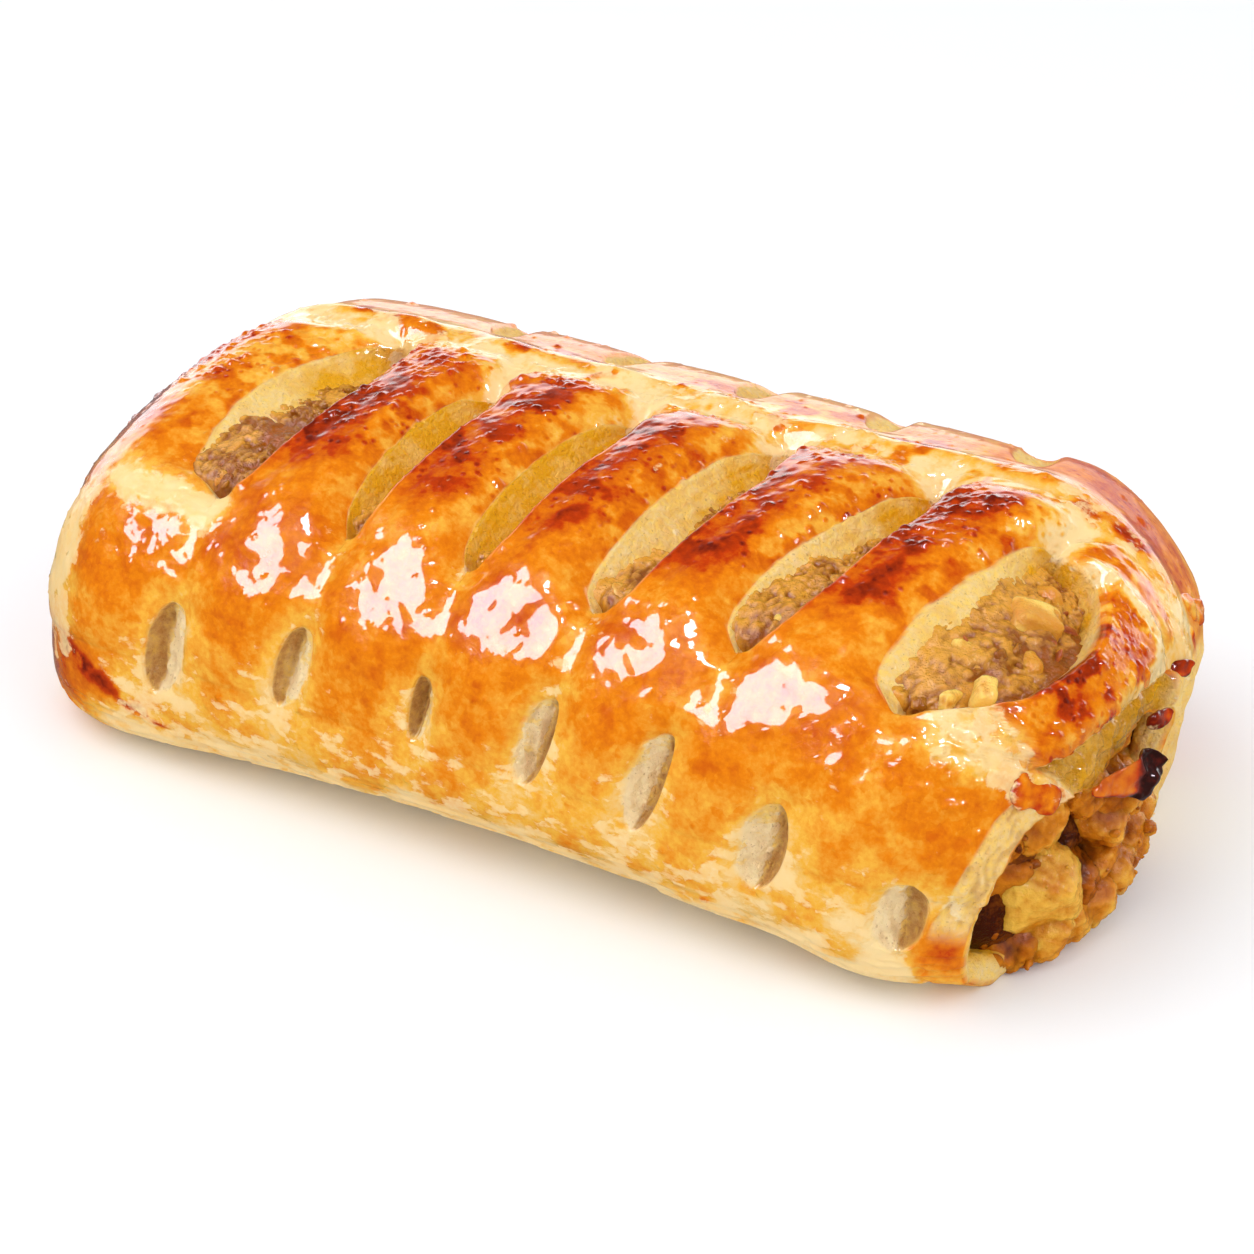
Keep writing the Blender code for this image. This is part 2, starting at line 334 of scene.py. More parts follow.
def piece(name, points, faces, material, fields=None, normals=None):
    """A finished object: it rides on the one body and takes its values per vertex as attributes."""
    mesh = bpy.data.meshes.new(name)
    fill_mesh(mesh, points, faces)
    for field, values in (fields or {}).items():
        layer = mesh.attributes.new(field, "FLOAT", "POINT")
        layer.data.foreach_set("value", values.astype(np.float32).ravel())
    mesh.materials.append(material)
    mesh.shade_smooth()
    if normals is not None:
        mesh.normals_split_custom_set_from_vertices(normals.astype(np.float32))
    made = bpy.data.objects.new(name, mesh)
    bpy.context.scene.collection.objects.link(made)
    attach(made, "root")
    return made


def joined(parts):
    """One set of points, faces and fields from many (points, faces, fields)."""
    points = np.concatenate([p for p, _, _ in parts])
    offsets = np.cumsum([0] + [len(p) for p, _, _ in parts[:-1]])
    faces = np.concatenate([f.reshape(-1, 4) + o for (_, f, _), o in zip(parts, offsets)])
    fields = {key: np.concatenate([v[key] for _, _, v in parts]) for key in parts[0][2]}
    return points, faces, fields


# Materials ---------------------------------------------------------------------------------------


def arithmetic(operation):
    """The two methods of an operator on a value: the plain one and the reflected one."""

    def plain(self, other):
        return self.paint.add("ShaderNodeMath", {"operation": operation}, {0: self, 1: other})

    def reflected(self, other):
        return self.paint.add("ShaderNodeMath", {"operation": operation}, {0: other, 1: self})

    return plain, reflected


class Value:
    """A socket that takes part in arithmetic, where each step adds a Math node."""

    def __init__(self, paint, socket):
        self.paint = paint
        self.socket = socket

    __add__, __radd__ = arithmetic("ADD")
    __sub__, __rsub__ = arithmetic("SUBTRACT")
    __mul__, __rmul__ = arithmetic("MULTIPLY")


class Paint:
    """A material in the making, or the light of a world. Sizes are in millimetres."""

    def __init__(self, owner):
        self.owner = bpy.data.materials.new(owner) if isinstance(owner, str) else owner
        self.owner.use_nodes = True
        self.tree = self.owner.node_tree

    def set(self, node, values):
        """Puts values or links into a node's sockets, by name or number."""
        for key, value in values.items():
            socket = node.inputs[key]
            if isinstance(value, Value):
                self.tree.links.new(value.socket, socket)
            else:
                socket.default_value = value

    def add(self, kind, settings=None, values=None, output=0):
        """A node of a kind, its settings first, then the values or links of its sockets."""
        node = self.tree.nodes.new(kind)
        for key, value in (settings or {}).items():
            setattr(node, key, value)
        self.set(node, values or {})
        return Value(self, node.outputs[output])

    def field(self, name):
        """A value that the mesh holds for each vertex."""
        return self.add("ShaderNodeAttribute", {"attribute_name": name}, output="Fac")

    def place(self):
        """Where a point lies on its object."""
        return self.add("ShaderNodeTexCoord", output="Object")

    def grain(self, size, detail=3.0, roughness=0.55, stretch=None):
        """Noise from 0 to 1 with features of about that size."""
        at = self.place()
        if stretch:
            at = self.add("ShaderNodeMapping", {}, {"Vector": at, "Scale": stretch})
        given = {"Vector": at, "Scale": 1 / (size * MM), "Detail": detail, "Roughness": roughness}
        return self.add("ShaderNodeTexNoise", {}, given, "Fac")

    def ease(self, value, low, high):
        """0 below low and 1 above high."""
        given = {"Value": value, "From Min": low, "From Max": high}
        return self.add("ShaderNodeMapRange", {"interpolation_type": "SMOOTHSTEP"}, given)

    def mix(self, factor, first, second):
        """A colour between two colours."""
        first, second = (c if isinstance(c, Value) else (*c, 1) for c in (first, second))
        given = {0: factor, 6: first, 7: second}
        return self.add("ShaderNodeMix", {"data_type": "RGBA"}, given, 2)

    def ladder(self, value, steps):
        """A colour along (position, colour) steps."""
        ramp = self.add("ShaderNodeValToRGB", {}, {"Fac": value}, "Color")
        elements = ramp.socket.node.color_ramp.elements
        while len(elements) < len(steps):
            elements.new(0.5)
        for element, (position, shade) in zip(elements, steps):
            element.position = position
            element.color = (*shade, 1)
        return ramp

    def bump(self, height, depth):
        """A normal from a height of 0 to 1 and the depth that it stands for."""
        given = {"Height": height, "Strength": 1.0, "Distance": depth * MM}
        return self.add("ShaderNodeBump", {}, given, "Normal")

    def finish(self, **values):
        named = {key.replace("_", " "): value for key, value in values.items()}
        self.set(self.tree.nodes["Principled BSDF"], named)
        return self.owner


def bubbles(paint, size, share):
    """Round domes from 0 to 1 with that spacing, on a share of the points that they could have."""
    given = {"Vector": paint.place(), "Scale": 1 / (size * MM), "Randomness": 1.0}
    reach = paint.add("ShaderNodeTexVoronoi", {"feature": "F1"}, given, "Distance")
    lot = Value(paint, reach.socket.node.outputs["Color"])
    return paint.ease(reach, 0.46, 0.08) * paint.ease(lot, 1 - share, 1.04 - share)


def chips(paint, size):
    """A number from 0 to 1 that is the same all over each small angular chip."""
    scale = 1 / (size * MM)
    bent = paint.add("ShaderNodeTexNoise", {}, {"Vector": paint.place(), "Scale": scale}, "Color")
    given = {0: bent, 1: (0.9 * size * MM,) * 3, 2: paint.place()}
    at = paint.add("ShaderNodeVectorMath", {"operation": "MULTIPLY_ADD"}, given, "Vector")
    cell = paint.add("ShaderNodeTexVoronoi", {"feature": "F1"}, {"Vector": at, "Scale": scale}, "Color")
    return cell * 1.0


def pastry():
    """Puff pastry under an egg and sugar glaze. Fields: bake, from pale to burnt; glaze, how much
    syrup covers it; dough, where it is cut and bare; wet, where the filling soaks it; flake, how
    much of it has flaked to pale layers; bubble, where the glaze blistered; shade, where painted
    shade dims the cut dough."""
    tone, paint = bake(), Paint("puff_pastry")
    fine = paint.ease(paint.grain(0.9, 4.0, 0.62), 0.28, 0.72)
    broad = paint.ease(paint.grain(3.4, 4.0, 0.6), 0.34, 0.66)
    tiny = paint.grain(0.32, 2.0)
    specks = paint.ease(paint.grain(0.50, 1.0), 0.66, 0.73)
    chip = chips(paint, 1.5)
    blister = paint.field("bubble") * bubbles(paint, 1.25, 0.5)
    baked = paint.field("bake") + 0.10 * (fine - 0.5) + 0.13 * (broad - 0.5) + 0.09 * (chip - 0.5)
    crust = paint.ladder(
        baked + 0.22 * blister,
        ((0.0, tone.cream), (0.24, tone.golden), (0.44, tone.amber), (0.72, tone.caramel), (1.0, tone.burnt)),
    )
    ragged = paint.grain(2.8, 5.0, 0.56, (0.60, 0.8, 1.1)) + 0.14 * (chip - 0.5)
    flaky = paint.ease(0.52 * paint.field("flake") + ragged, 0.70, 0.80)
    crust = paint.mix(flaky * (0.35 + 0.35 * fine + 0.30 * chip), crust, tone.cream)
    soaked = paint.field("wet") + 0.50 * (broad - 0.5) + 0.35 * (fine - 0.5)
    dough = paint.mix(soaked, paint.mix(fine, tone.dough, tone.cream), tone.wet_dough)
    dough = paint.mix(flaky * 0.85, dough, tone.pith)
    # Painted shade: the cut dough turns to dim dough where the shade field is.
    dough = paint.mix(paint.field("shade") * (0.62 + 0.38 * fine), dough, tone.dim)
    dough = paint.mix(specks * 0.35, dough, tone.mash_dark)
    glaze = paint.field("glaze") * (1 - 0.6 * flaky)
    height = 0.55 * blister + 0.18 * fine + 0.08 * tiny + 0.22 * flaky + 0.10 * chip
    height = height + paint.field("dough") * (1.1 * fine + 0.5 * tiny)
    return paint.finish(
        Base_Color=paint.mix(paint.field("dough"), crust, dough),
        Roughness=0.60 - 0.42 * glaze,
        Coat_Weight=0.85 * glaze,
        Coat_Roughness=0.04,
        Coat_IOR=1.6,
        Specular_IOR_Level=0.13,
        Subsurface_Weight=0.08,
        Subsurface_Radius=(1.0, 0.45, 0.15),
        Subsurface_Scale=1.6 * MM,
        Normal=paint.bump(height, 0.20),
    )


def fruit(name, places, shades, soft=0.30):
    """Stewed apple: translucent flesh, with named shades at those places along the field tone."""
    paint = Paint(name)
    fine, broad = paint.grain(0.6, 3.0), paint.grain(2.2, 3.0)
    tone = paint.field("tone") + 0.34 * (broad - 0.5) + 0.26 * (fine - 0.5)
    steps = [(place, getattr(bake(), shade)) for place, shade in zip(places, shades)]
    return paint.finish(
        Base_Color=paint.ladder(tone, steps),
        Roughness=0.12,
        Specular_IOR_Level=0.5,
        Coat_Weight=0.12,
        Coat_Roughness=0.05,
        Subsurface_Weight=soft,
        Subsurface_Radius=(1.0, 0.55, 0.18),
        Subsurface_Scale=1.6 * MM,
        Normal=paint.bump(fine + 0.5 * paint.grain(0.25, 2.0), 0.30),
    )


def scorched():
    """Pastry and sugar burnt to a hard glossy brown, nearly black at one end. Field: bake."""
    tone, paint = bake(), Paint("scorched_pastry")
    fine = paint.grain(0.8, 3.0)
    steps = ((0.4, tone.amber), (0.7, tone.caramel), (0.88, tone.burnt), (1.0, tone.char))
    return paint.finish(
        Base_Color=paint.ladder(paint.field("bake") + 0.25 * (fine - 0.5), steps),
        Roughness=0.4,
        Specular_IOR_Level=0.2,
        Coat_Weight=1.0,
        Coat_Roughness=0.06,
        Coat_IOR=1.6,
        Normal=paint.bump(fine, 0.10),
    )


# The loaf ----------------------------------------------------------------------------------------


class Loaf:
    """The parcel's plain outer surface in two parameters: s, the distance along it from the middle,
    which runs round the ends' rounding and on over their flat caps, and the angle round it: 0 at
    the front, 90 degrees at the top and 180 at the back."""

    def __init__(self):
        shape = sizes()
        self.wide, self.tall, self.radius = shape.wide, shape.tall, shape.end_radius
        self.straight = shape.long / 2 - self.radius
        self.corner = self.straight + self.radius * math.pi / 2  # where the rounding meets the cap
        self.cap = self.wide / 2 - self.radius  # half width of the cap

    def point(self, s, angle):
        """(x, y, z). The section shrinks by radius * (1 - cos turn) round each end, and straight
        on over the cap, down to its middle. Halfway along, the lower corners are rounder than near
        the ends. The closed end leans in, and the back of the open end recedes above and below."""
        s, angle = np.broadcast_arrays(s, angle)
        turn = np.clip((np.abs(s) - self.straight) / self.radius, 0, math.pi / 2)
        over = np.clip((np.abs(s) - self.corner) / self.cap, 0, 0.995)
        x = np.sign(s) * (np.minimum(np.abs(s), self.straight) + self.radius * np.sin(turn))
        pull = self.radius * (1 - np.cos(turn))
        reach = self.straight + self.radius
        taper = TAPER * (np.clip(-x - TAPER_START, 0, None) / (reach - TAPER_START)) ** 2
        half = (self.wide / 2 - pull - taper / 2) * (1 - over)
        height = self.tall - pull - taper
        belt = BELT * height
        cos, sin = np.cos(angle), np.sin(angle)
        rise = np.where(sin > 0, height - belt, belt * BASE_DROP) * (1 - over)
        tuck = 1.15 * np.clip(1 - ((x - 8 * MM) / (62 * MM)) ** 2, 0, 1)
        power = np.where(sin > 0, CROWN_POWER, BASE_POWER - tuck)
        out = ((np.abs(cos) / half) ** power + (np.abs(sin) / rise) ** power) ** (-1 / power)
        y, z = -out * cos, np.maximum(belt + out * sin, 0)
        bulge = np.where(x > 0, MOUTH_BULGE * (x / reach) ** 4, 0)
        x = x + bulge * (1 - (2 * y / self.wide) ** 2) - 2.5 * MM * over * (2 - over) * (s < 0)
        x = x + 0.12 * (z - 21 * MM) * smooth(-x, 46 * MM, 76 * MM)
        recede = 0.13 * np.clip(24 * MM - z, 0, None) + 0.30 * np.clip(z - 30 * MM, 0, None)
        x = x - recede * smooth(x, 55 * MM, 80 * MM) * smooth(y, -16 * MM, 4 * MM)
        return np.stack((x, y + LEAN * z / self.tall, z), -1)

    def normal(self, s, angle):
        """Outward normals, from small steps along both parameters."""
        around = self.point(s, angle + 0.006) - self.point(s, angle - 0.006)
        return unit(np.cross(self.ahead(s, angle), around))

    def ahead(self, s, angle):
        """A small step along the loaf."""
        return self.point(s + 0.2 * MM, angle) - self.point(s - 0.2 * MM, angle)


# Slits in the crown, one for each of the first six seams, as (angle in degrees, left edge, right
# edge) in millimetres along the loaf. The right edge is the crisp rim of the next strip.
CROWN_SLITS = (
    (
        (33, -43.5, -41.5), (36, -47.5, -40.2), (40, -50, -39), (50, -52, -37.6), (60, -52.6, -36.6),
        (70, -52.4, -36.1), (80, -51.2, -36), (90, -49, -36), (100, -45.5, -36.2), (108, -41, -36.9),
    ),
    (
        (32.5, -21.8, -20.8), (36, -23.3, -20.2), (40, -24, -19.6), (50, -24.6, -18.4), (60, -24.6, -17.6),
        (70, -24.3, -17.2), (80, -23.6, -17), (87, -22.4, -17.2), (92, -20.6, -17.8),
    ),
    (
        (32.5, -3.4, -1.8), (36, -4.6, -0.8), (40, -5.3, 0.4), (50, -5.6, 1.4), (60, -5.2, 2.3),
        (70, -4.6, 3), (80, -3.7, 3.3), (90, -2, 3.4), (97, 0, 3.2), (101, 1.4, 2.6),
    ),
    (
        (31.5, 16, 17.5), (34, 14.2, 19.2), (38, 13.5, 20.4), (45, 13.6, 21.6), (52, 13.9, 22.7),
        (60, 14.2, 24), (70, 15, 24.6), (80, 16, 25), (90, 17, 25), (100, 19.4, 24.8), (108, 22, 24.2),
    ),
    (
        (32, 36, 37.5), (35, 33.9, 39), (40, 33.1, 41), (50, 33.8, 43.4), (60, 35.2, 44.5),
        (70, 37, 45.2), (80, 38.8, 46), (90, 40.3, 46.4), (98, 42.6, 46.1), (104, 44.5, 45.6),
    ),
    (
        (29.5, 57, 59), (32, 54.6, 62), (36, 53.2, 66), (40, 53, 68.6), (50, 53.6, 70.5), (60, 55, 71.5),
        (70, 56.5, 71.5), (80, 58, 71), (86, 59, 70.3), (90, 60.3, 69), (93.5, 62.5, 66),
    ),
)
# Slits in the back of the crown and in the sides: (seam, lowest angle, highest angle, place at the
# lowest, place at the highest, width), the last three in millimetres.
REAR_SLITS = (
    (0, 127, 154, -29.0, -33.0, 6.2),
    (1, 127, 154, -10.5, -9.5, 6.2),
    (2, 127, 154, 11.0, 10.0, 6.2),
    (3, 127, 154, 31.5, 28.5, 6.2),
    (4, 127, 154, 52.5, 49.5, 6.2),
)
SIDE_SLITS = (
    (0, -6.5, 12.5, -46.2, -43.4, 6.4),
    (1, -1, 15, -25.4, -22.6, 4.9),
    (2, 1, 13, -4.2, -3.4, 2.6),
    (3, -1, 16, 12.2, 15.2, 4.3),
    (4, -3, 16, 28.2, 31.8, 4.6),
    (5, -7, 10, 45.4, 47.8, 5.9),
    (6, -12, 2.5, 64.2, 65.4, 6.2),
)
# The back has the same side slits as the front, but for the last.
MIRRORED_SLITS = tuple((k, 180 - high, 180 - low, b, a, wide) for k, low, high, a, b, wide in SIDE_SLITS[:6])
ALL_SIDE_SLITS = SIDE_SLITS + MIRRORED_SLITS
SEAMS = 7


def edges_at(degrees, rows):
    """The edges of a slit at given angles. They run straight from row to row, with their corners
    rounded by an average over four degrees."""
    rows = np.array(rows, float)
    shifts = np.linspace(-2, 2, 9)
    return [np.mean([np.interp(degrees + d, rows[:, 0], rows[:, i]) for d in shifts], 0) for i in (1, 2)]


def round_ends(degrees, low, high, first, last):
    """1 along a slit, falling to 0 at both ends along quarter circles of those lengths."""
    near = np.clip((degrees - low) / first, 0, 1)
    far = np.clip((high - degrees) / last, 0, 1)
    return np.sqrt(np.clip(1 - (1 - near) ** 2, 0, 1) * np.clip(1 - (1 - far) ** 2, 0, 1))


class Slits:
    """All slits at given angles: for each seam its place along the loaf, and the width, depth and
    kind of the slit that is open there. Between its slits a seam runs on as a plain line."""

    def __init__(self, degrees):
        shape, count = sizes(), len(degrees)
        self.width, self.depth, self.crown, self.open, middle, covered = np.zeros((6, count, SEAMS))
        knots = [[] for _ in range(SEAMS)]

        def cut(k, low, high, left, right, crown, depth, first, last):
            """Opens a slit on seam k; first and last are the lengths of its rounded ends."""
            within = (degrees > low) & (degrees < high)
            ends = round_ends(degrees, low, high, first, last)
            self.width[:, k] += np.where(within, (right - left) * ends, 0)
            self.depth[:, k] += np.where(within, depth * np.minimum(1, 1.25 * ends), 0)
            self.crown[:, k] = np.maximum(self.crown[:, k], crown * between(degrees, low - 4, high + 4, 2))
            self.open[:, k] = np.maximum(self.open[:, k], between(degrees, low - 2, high + 2, 2.5))
            middle[:, k] = np.where(within, (left + right) / 2, middle[:, k])
            covered[:, k] = np.maximum(covered[:, k], within)
            for at in (low, high):
                knots[k].append((at, float(np.interp(at, degrees, (left + right) / 2))))

        for k, rows in enumerate(CROWN_SLITS):
            left, right = (e * MM for e in edges_at(degrees, rows))
            cut(k, rows[0][0], rows[-1][0] + 2, left, right, 1.0, shape.crown_depth, 5, 6)
        for slits, crown in ((REAR_SLITS, 1.0), (ALL_SIDE_SLITS, 0.0)):
            for k, low, high, at_low, at_high, width in slits:
                place = (at_low + (at_high - at_low) * np.clip((degrees - low) / (high - low), 0, 1)) * MM
                half = width / 2 * MM
                depth = 0.4 * shape.crown_depth if crown else shape.side_depth
                reach = (high - low) / 2
                cut(k, low, high, place - half, place + half, crown, depth, reach, reach)
        knots[5] += [(a, s * MM) for a, s in LAST_RUN]
        knots[6] += [(a, s * MM) for a, s in LEDGE]
        self.place = np.empty((count, SEAMS))
        for k in range(SEAMS):
            ends = sorted(knots[k])
            ends = [(-90, ends[0][1])] + ends + [(270, ends[0][1])]
            line = path_through(degrees, ends) if k < 6 else np.interp(degrees, *np.array(ends).T)
            self.place[:, k] = np.where(covered[:, k] > 0, middle[:, k], line)
        self.rim = np.mean([np.interp(degrees + d, *np.array(RIM).T) for d in (-1.5, 0, 1.5)], 0) * MM


# Where the last crown slit's seam runs over the back: (angle, millimetres).
LAST_RUN = ((122, 71.5), (150, 66))
# The lower edge of the last strip, and its run on over the back: (angle, millimetres).
LEDGE = (
    (26, 71), (31, 74.2), (36, 76), (40, 77), (50, 78.2), (60, 79.2), (70, 80), (80, 80.7),
    (90, 81.3), (100, 81.8), (115, 83), (135, 83), (180, 79), (225, 70),
)
# Where the crust ends at the mouth. Its back part closes over half of the end.
RIM = (
    (-90, 73.5), (-45, 71.5), (-20, 70.8), (-10, 71.8), (0, 73.3), (10, 74.5), (20, 76.2), (26, 78),
    (30, 80), (34, 83.2), (38, 85.4), (45, 86.3), (90, 86.6), (110, 88.5), (126, 98), (150, 102),
    (190, 102.5), (205, 98), (223, 88), (240, 84), (270, 73.5),
)

# The profile across a slit, from left to right: (step, place over the slit's width, height over
# its depth). The crown's slits have a broad slope on their left and a steep wall under a crisp rim
# on their right. The side slits are pits: the first three are deepest on their left, and the others
# are their mirror image.
CROWN_PROFILE = (
    (0.00, 0.00, 0.00), (0.13, 0.00, 0.00), (0.18, 0.03, -0.08), (0.24, 0.11, -0.24), (0.34, 0.29, -0.45),
    (0.48, 0.57, -0.72), (0.60, 0.81, -0.95), (0.66, 0.90, -1.00), (0.72, 0.97, -0.93), (0.79, 1.01, -0.55),
    (0.85, 1.00, -0.10), (0.89, 1.00, 0.04), (0.93, 1.00, 0.05), (1.00, 1.00, 0.00),
)
SIDE_PROFILE = (
    (0.00, 0.00, 0.00), (0.12, 0.00, 0.03), (0.17, 0.02, 0.05), (0.23, 0.06, -0.32), (0.30, 0.16, -0.80),
    (0.38, 0.28, -1.00), (0.50, 0.44, -0.84), (0.62, 0.60, -0.62), (0.72, 0.78, -0.48), (0.80, 0.92, -0.36),
    (0.86, 0.99, -0.14), (0.91, 1.00, 0.05), (0.95, 1.00, 0.06), (1.00, 1.00, 0.00),
)
BOTTOM_STEP = 0.66  # the step at which the crown's slits are deepest, where the slices meet
FIRST_MIRRORED = 3
ZONE_COLUMNS = 51
STRIP_COLUMNS = 34
END_COLUMNS = 96
CAP_COLUMNS = 22


def profile(points, step, column):
    """A smooth curve through a profile's points, by an average of straight runs over a window."""
    points = np.array(points)
    fine = np.linspace(-0.02, 1.02, 417)
    values = np.pad(np.interp(fine, points[:, 0], points[:, column]), 9, mode="edge")
    window = np.hanning(19)
    return np.interp(step, fine, np.convolve(values, window / window.sum(), mode="valid"))


# Relief of the crust in millimetres: (mask, plain height, then layers of noise as (height, size,
# seed)), each added where its mask is.
RELIEF = (
    ("ridge", -0.6, (0.5, 7, 3), (0.28, 2.8, 4)),
    ("tails", -0.9),
    ("last", 1.2),
    ("upper_front", 0, (0.24, 9, 7), (0.20, 4.4, 8), (0.10, 2.1, 10), (0.045, 1.15, 15)),
    ("wrinkles", 0, (0.30, 2.0, 11), (0.12, 1.0, 12)),
    ("roots", -0.80),
    ("front", 0, (0.40, 12, 9)),
    ("everywhere", 0, (0.22, 15, 13)),
    ("pits", -0.9),
    ("back_wall", 0, (0.35, 4, 38)),
    ("under", 0, (0.6, 2.4, 34), (0.30, 1.0, 35)),
)
# Browning: (mask, amount, even share, patchy share). The bake goes up by the amount times the mask
# times the even share plus the patchy share times a patchy noise.
BROWNING = (
    ("rear", -0.34, 0.7, 0.9),
    ("far", 0.25, 0.9, 0.9),
    ("shoulder", 0.05, 1, 0),
    ("front", -0.05, 1, 0),
    ("low_front", -0.20, 0.6, 0.8),
    ("skirt", -0.34, 0.75, 0.6),
    ("pits", -0.40, 0.8, 0.4),
    ("tails", -0.34, 1, 0),
    ("roots", -0.14, 1, 0),
    ("band", -0.41, 0.85, 0.3),
    # Under the last strip the bake is raised partly for painted shade.
    ("under", 0.42, 1, 0),
    ("corner", -0.27, 0.8, 1.2),
    ("loop", -0.26, 1, 0),
    ("pale_left", -0.40, 0.7, 0.5),
    ("heel", 0.34, 0.8, 0.9),
    ("toe", 0.40, 0.8, 0.9),
)
# Patches of the crust: name, then lowest angle, highest angle and softness, and the same along the
# loaf in millimetres.
PATCHES = (
    ("far", 103, 145, 3, 49, 76, 3),
    ("loop", 88, 104, 4, 58, 81, 4),
    ("toe", -30, -3, 4, 65, 80, 2),
)


class Crust:
    """The crust's grid. Rows go round the loaf and columns along it. Every column lies in a block:
    the cap and the closed end, a zone at each seam that folds down into its slits, the strips
    between the zones, and the open end."""

    def __init__(self):
        self.loaf = Loaf()
        self.set_rows()
        self.slits = Slits(self.degrees)
        self.set_columns()
        self.set_strips()
        self.set_relief()

    def set_rows(self):
        """Angles round the section, spaced by arc length: close in front and on the crown, wider
        at the back and widest on the base."""
        fine = np.radians(np.linspace(-90, 270, 7201))
        ring = self.loaf.point(np.zeros_like(fine), fine)
        steps = np.linalg.norm(np.diff(ring, axis=0), axis=1)
        middle = np.degrees((fine[1:] + fine[:-1]) / 2)
        spacing = 0.32 + 0.30 * smooth(middle, 124, 150) + 0.7 * smooth(middle, 205, 225)
        spacing = (spacing + 0.9 * (1 - smooth(middle, -62, -48))) * MM
        count = np.concatenate(((0,), np.cumsum(steps / spacing)))
        rows = int(count[-1])
        self.angle = np.interp(np.arange(rows) * count[-1] / rows, count, fine)
        self.degrees = np.degrees(self.angle)
        arc = np.concatenate(((0,), np.cumsum(steps)))
        self.arc = np.interp(self.angle, fine, arc)[:, None]

    def set_columns(self):
        """Places along the loaf, how far each point drops into a slit, and its step across it."""
        slits, rows = self.slits, len(self.angle)
        half = slits.width / 2
        left, right = slits.place - half, slits.place + half
        self.lefts, self.rights = left, right
        gap = np.concatenate((left[:, 1:], slits.rim[:, None]), 1) - right
        wish = np.clip(5.6 * MM - half, 1.2 * MM, None)
        after = np.minimum(wish, 0.4 * gap)
        before = np.minimum(wish, 0.4 * np.concatenate((left[:, :1] + self.loaf.corner, gap[:, :-1]), 1))
        step = np.linspace(0, 1, ZONE_COLUMNS)
        packed = np.interp(step, (0, 0.15, 0.85, 1), (-1, -0.08, 0.08, 1))
        blocks, self.blocks = [], {}

        def add(name, s, drop=0.0, across=-1.0):
            """Appends a block of columns, and notes the column at which it starts."""
            self.blocks[name] = sum(b[0].shape[1] for b in blocks)
            one = np.ones(s.shape)
            blocks.append((s, drop * one, across * one))

        cap = np.linspace(-self.loaf.corner - self.loaf.cap, -self.loaf.corner, CAP_COLUMNS + 1)[:-1]
        add("cap", np.ones((rows, 1)) * cap)
        edge = (left[:, :1] - before[:, :1]) + self.loaf.corner
        add("closed_end", -self.loaf.corner + edge * (np.arange(END_COLUMNS) / END_COLUMNS))
        for k in range(SEAMS):
            here, last = slice(k, k + 1), k == SEAMS - 1
            opened = slits.open[:, here]
            if last:
                opened = np.maximum(opened, between(self.degrees[:, None], 30, 100, 3))
            spread = (2 * step - 1) * (1 - opened) + packed * opened
            margin = np.where(spread < 0, before[:, here], after[:, here])
            side_place, side_drop = (profile(SIDE_PROFILE, step, i) for i in (1, 2))
            if k >= FIRST_MIRRORED:
                side_place, side_drop = 1 - side_place[::-1], side_drop[::-1]
            crown = slits.crown[:, here]
            place = profile(CROWN_PROFILE, step, 1) * crown + side_place * (1 - crown)
            drop = profile(CROWN_PROFILE, step, 2) * crown + side_drop * (1 - crown)
            s = slits.place[:, here] + slits.width[:, here] * (place - 0.5) + spread * margin
            add(f"zone_{k}", s, drop * slits.depth[:, here], step)
            start = right[:, here] + after[:, here]
            stop = slits.rim[:, None] if last else (left - before)[:, k + 1 : k + 2]
            share = (np.arange(STRIP_COLUMNS) + 1) / (STRIP_COLUMNS + (0 if last else 1))
            add(f"strip_{k}", start + (stop - start) * share)
        self.s, self.drop, self.across = (np.concatenate([b[i] for b in blocks], 1) for i in range(3))

    def set_strips(self):
        """Distances in millimetres of every point to the rims of the slits on both sides of it, and
        its place across its strip from -1 at the left rim to 1 at the right one."""
        s = self.s
        far = np.full((len(self.angle), 1), -self.loaf.corner)
        starts = np.concatenate((far, self.rights), 1)
        stops = np.concatenate((self.lefts, self.slits.rim[:, None]), 1)
        index = np.clip((s[:, :, None] > self.slits.place[:, None, :]).sum(2), 0, SEAMS)
        rows = np.arange(s.shape[0])[:, None]
        start, stop = starts[rows, index], stops[rows, index]
        self.strip = index
        self.from_left = (s - start) / MM
        self.from_right = (stop - s) / MM
        self.q = np.clip(2 * self.from_left / np.maximum((stop - start) / MM, 1) - 1, -1, 1)

    def rough(self, size, seed, stretch=(1, 1, 1)):
        """Noise at every point of the plain loaf."""
        return noise(self.base * np.array(stretch), size, seed)

    def cloudy(self, size, octaves, seed):
        """Layers of noise at every point of the plain loaf."""
        return clouds(self.base, size, octaves, seed)

    def set_relief(self):
        """Heights off the plain loaf, in millimetres, and the fields of the finish."""
        s, q, rough, cloudy = self.s, self.q, self.rough, self.cloudy
        degrees = self.degrees[:, None] * np.ones_like(s)
        angle = np.radians(degrees)
        self.base, normal = self.loaf.point(s, angle), self.loaf.normal(s, angle)
        x, y, z = np.moveaxis(self.base, -1, 0) / MM
        arc = self.arc * np.ones_like(s)
        m = self.marks = self.find_marks(degrees)
        self.drop = self.drop - 2.4 * MM * m["under"]
        depth = -self.drop / MM
        inside = smooth(depth, 0.25, 1.2)
        outside = 1 - inside
        crown, ends, inner = m["crown"], m["ends"], self.strip > 0

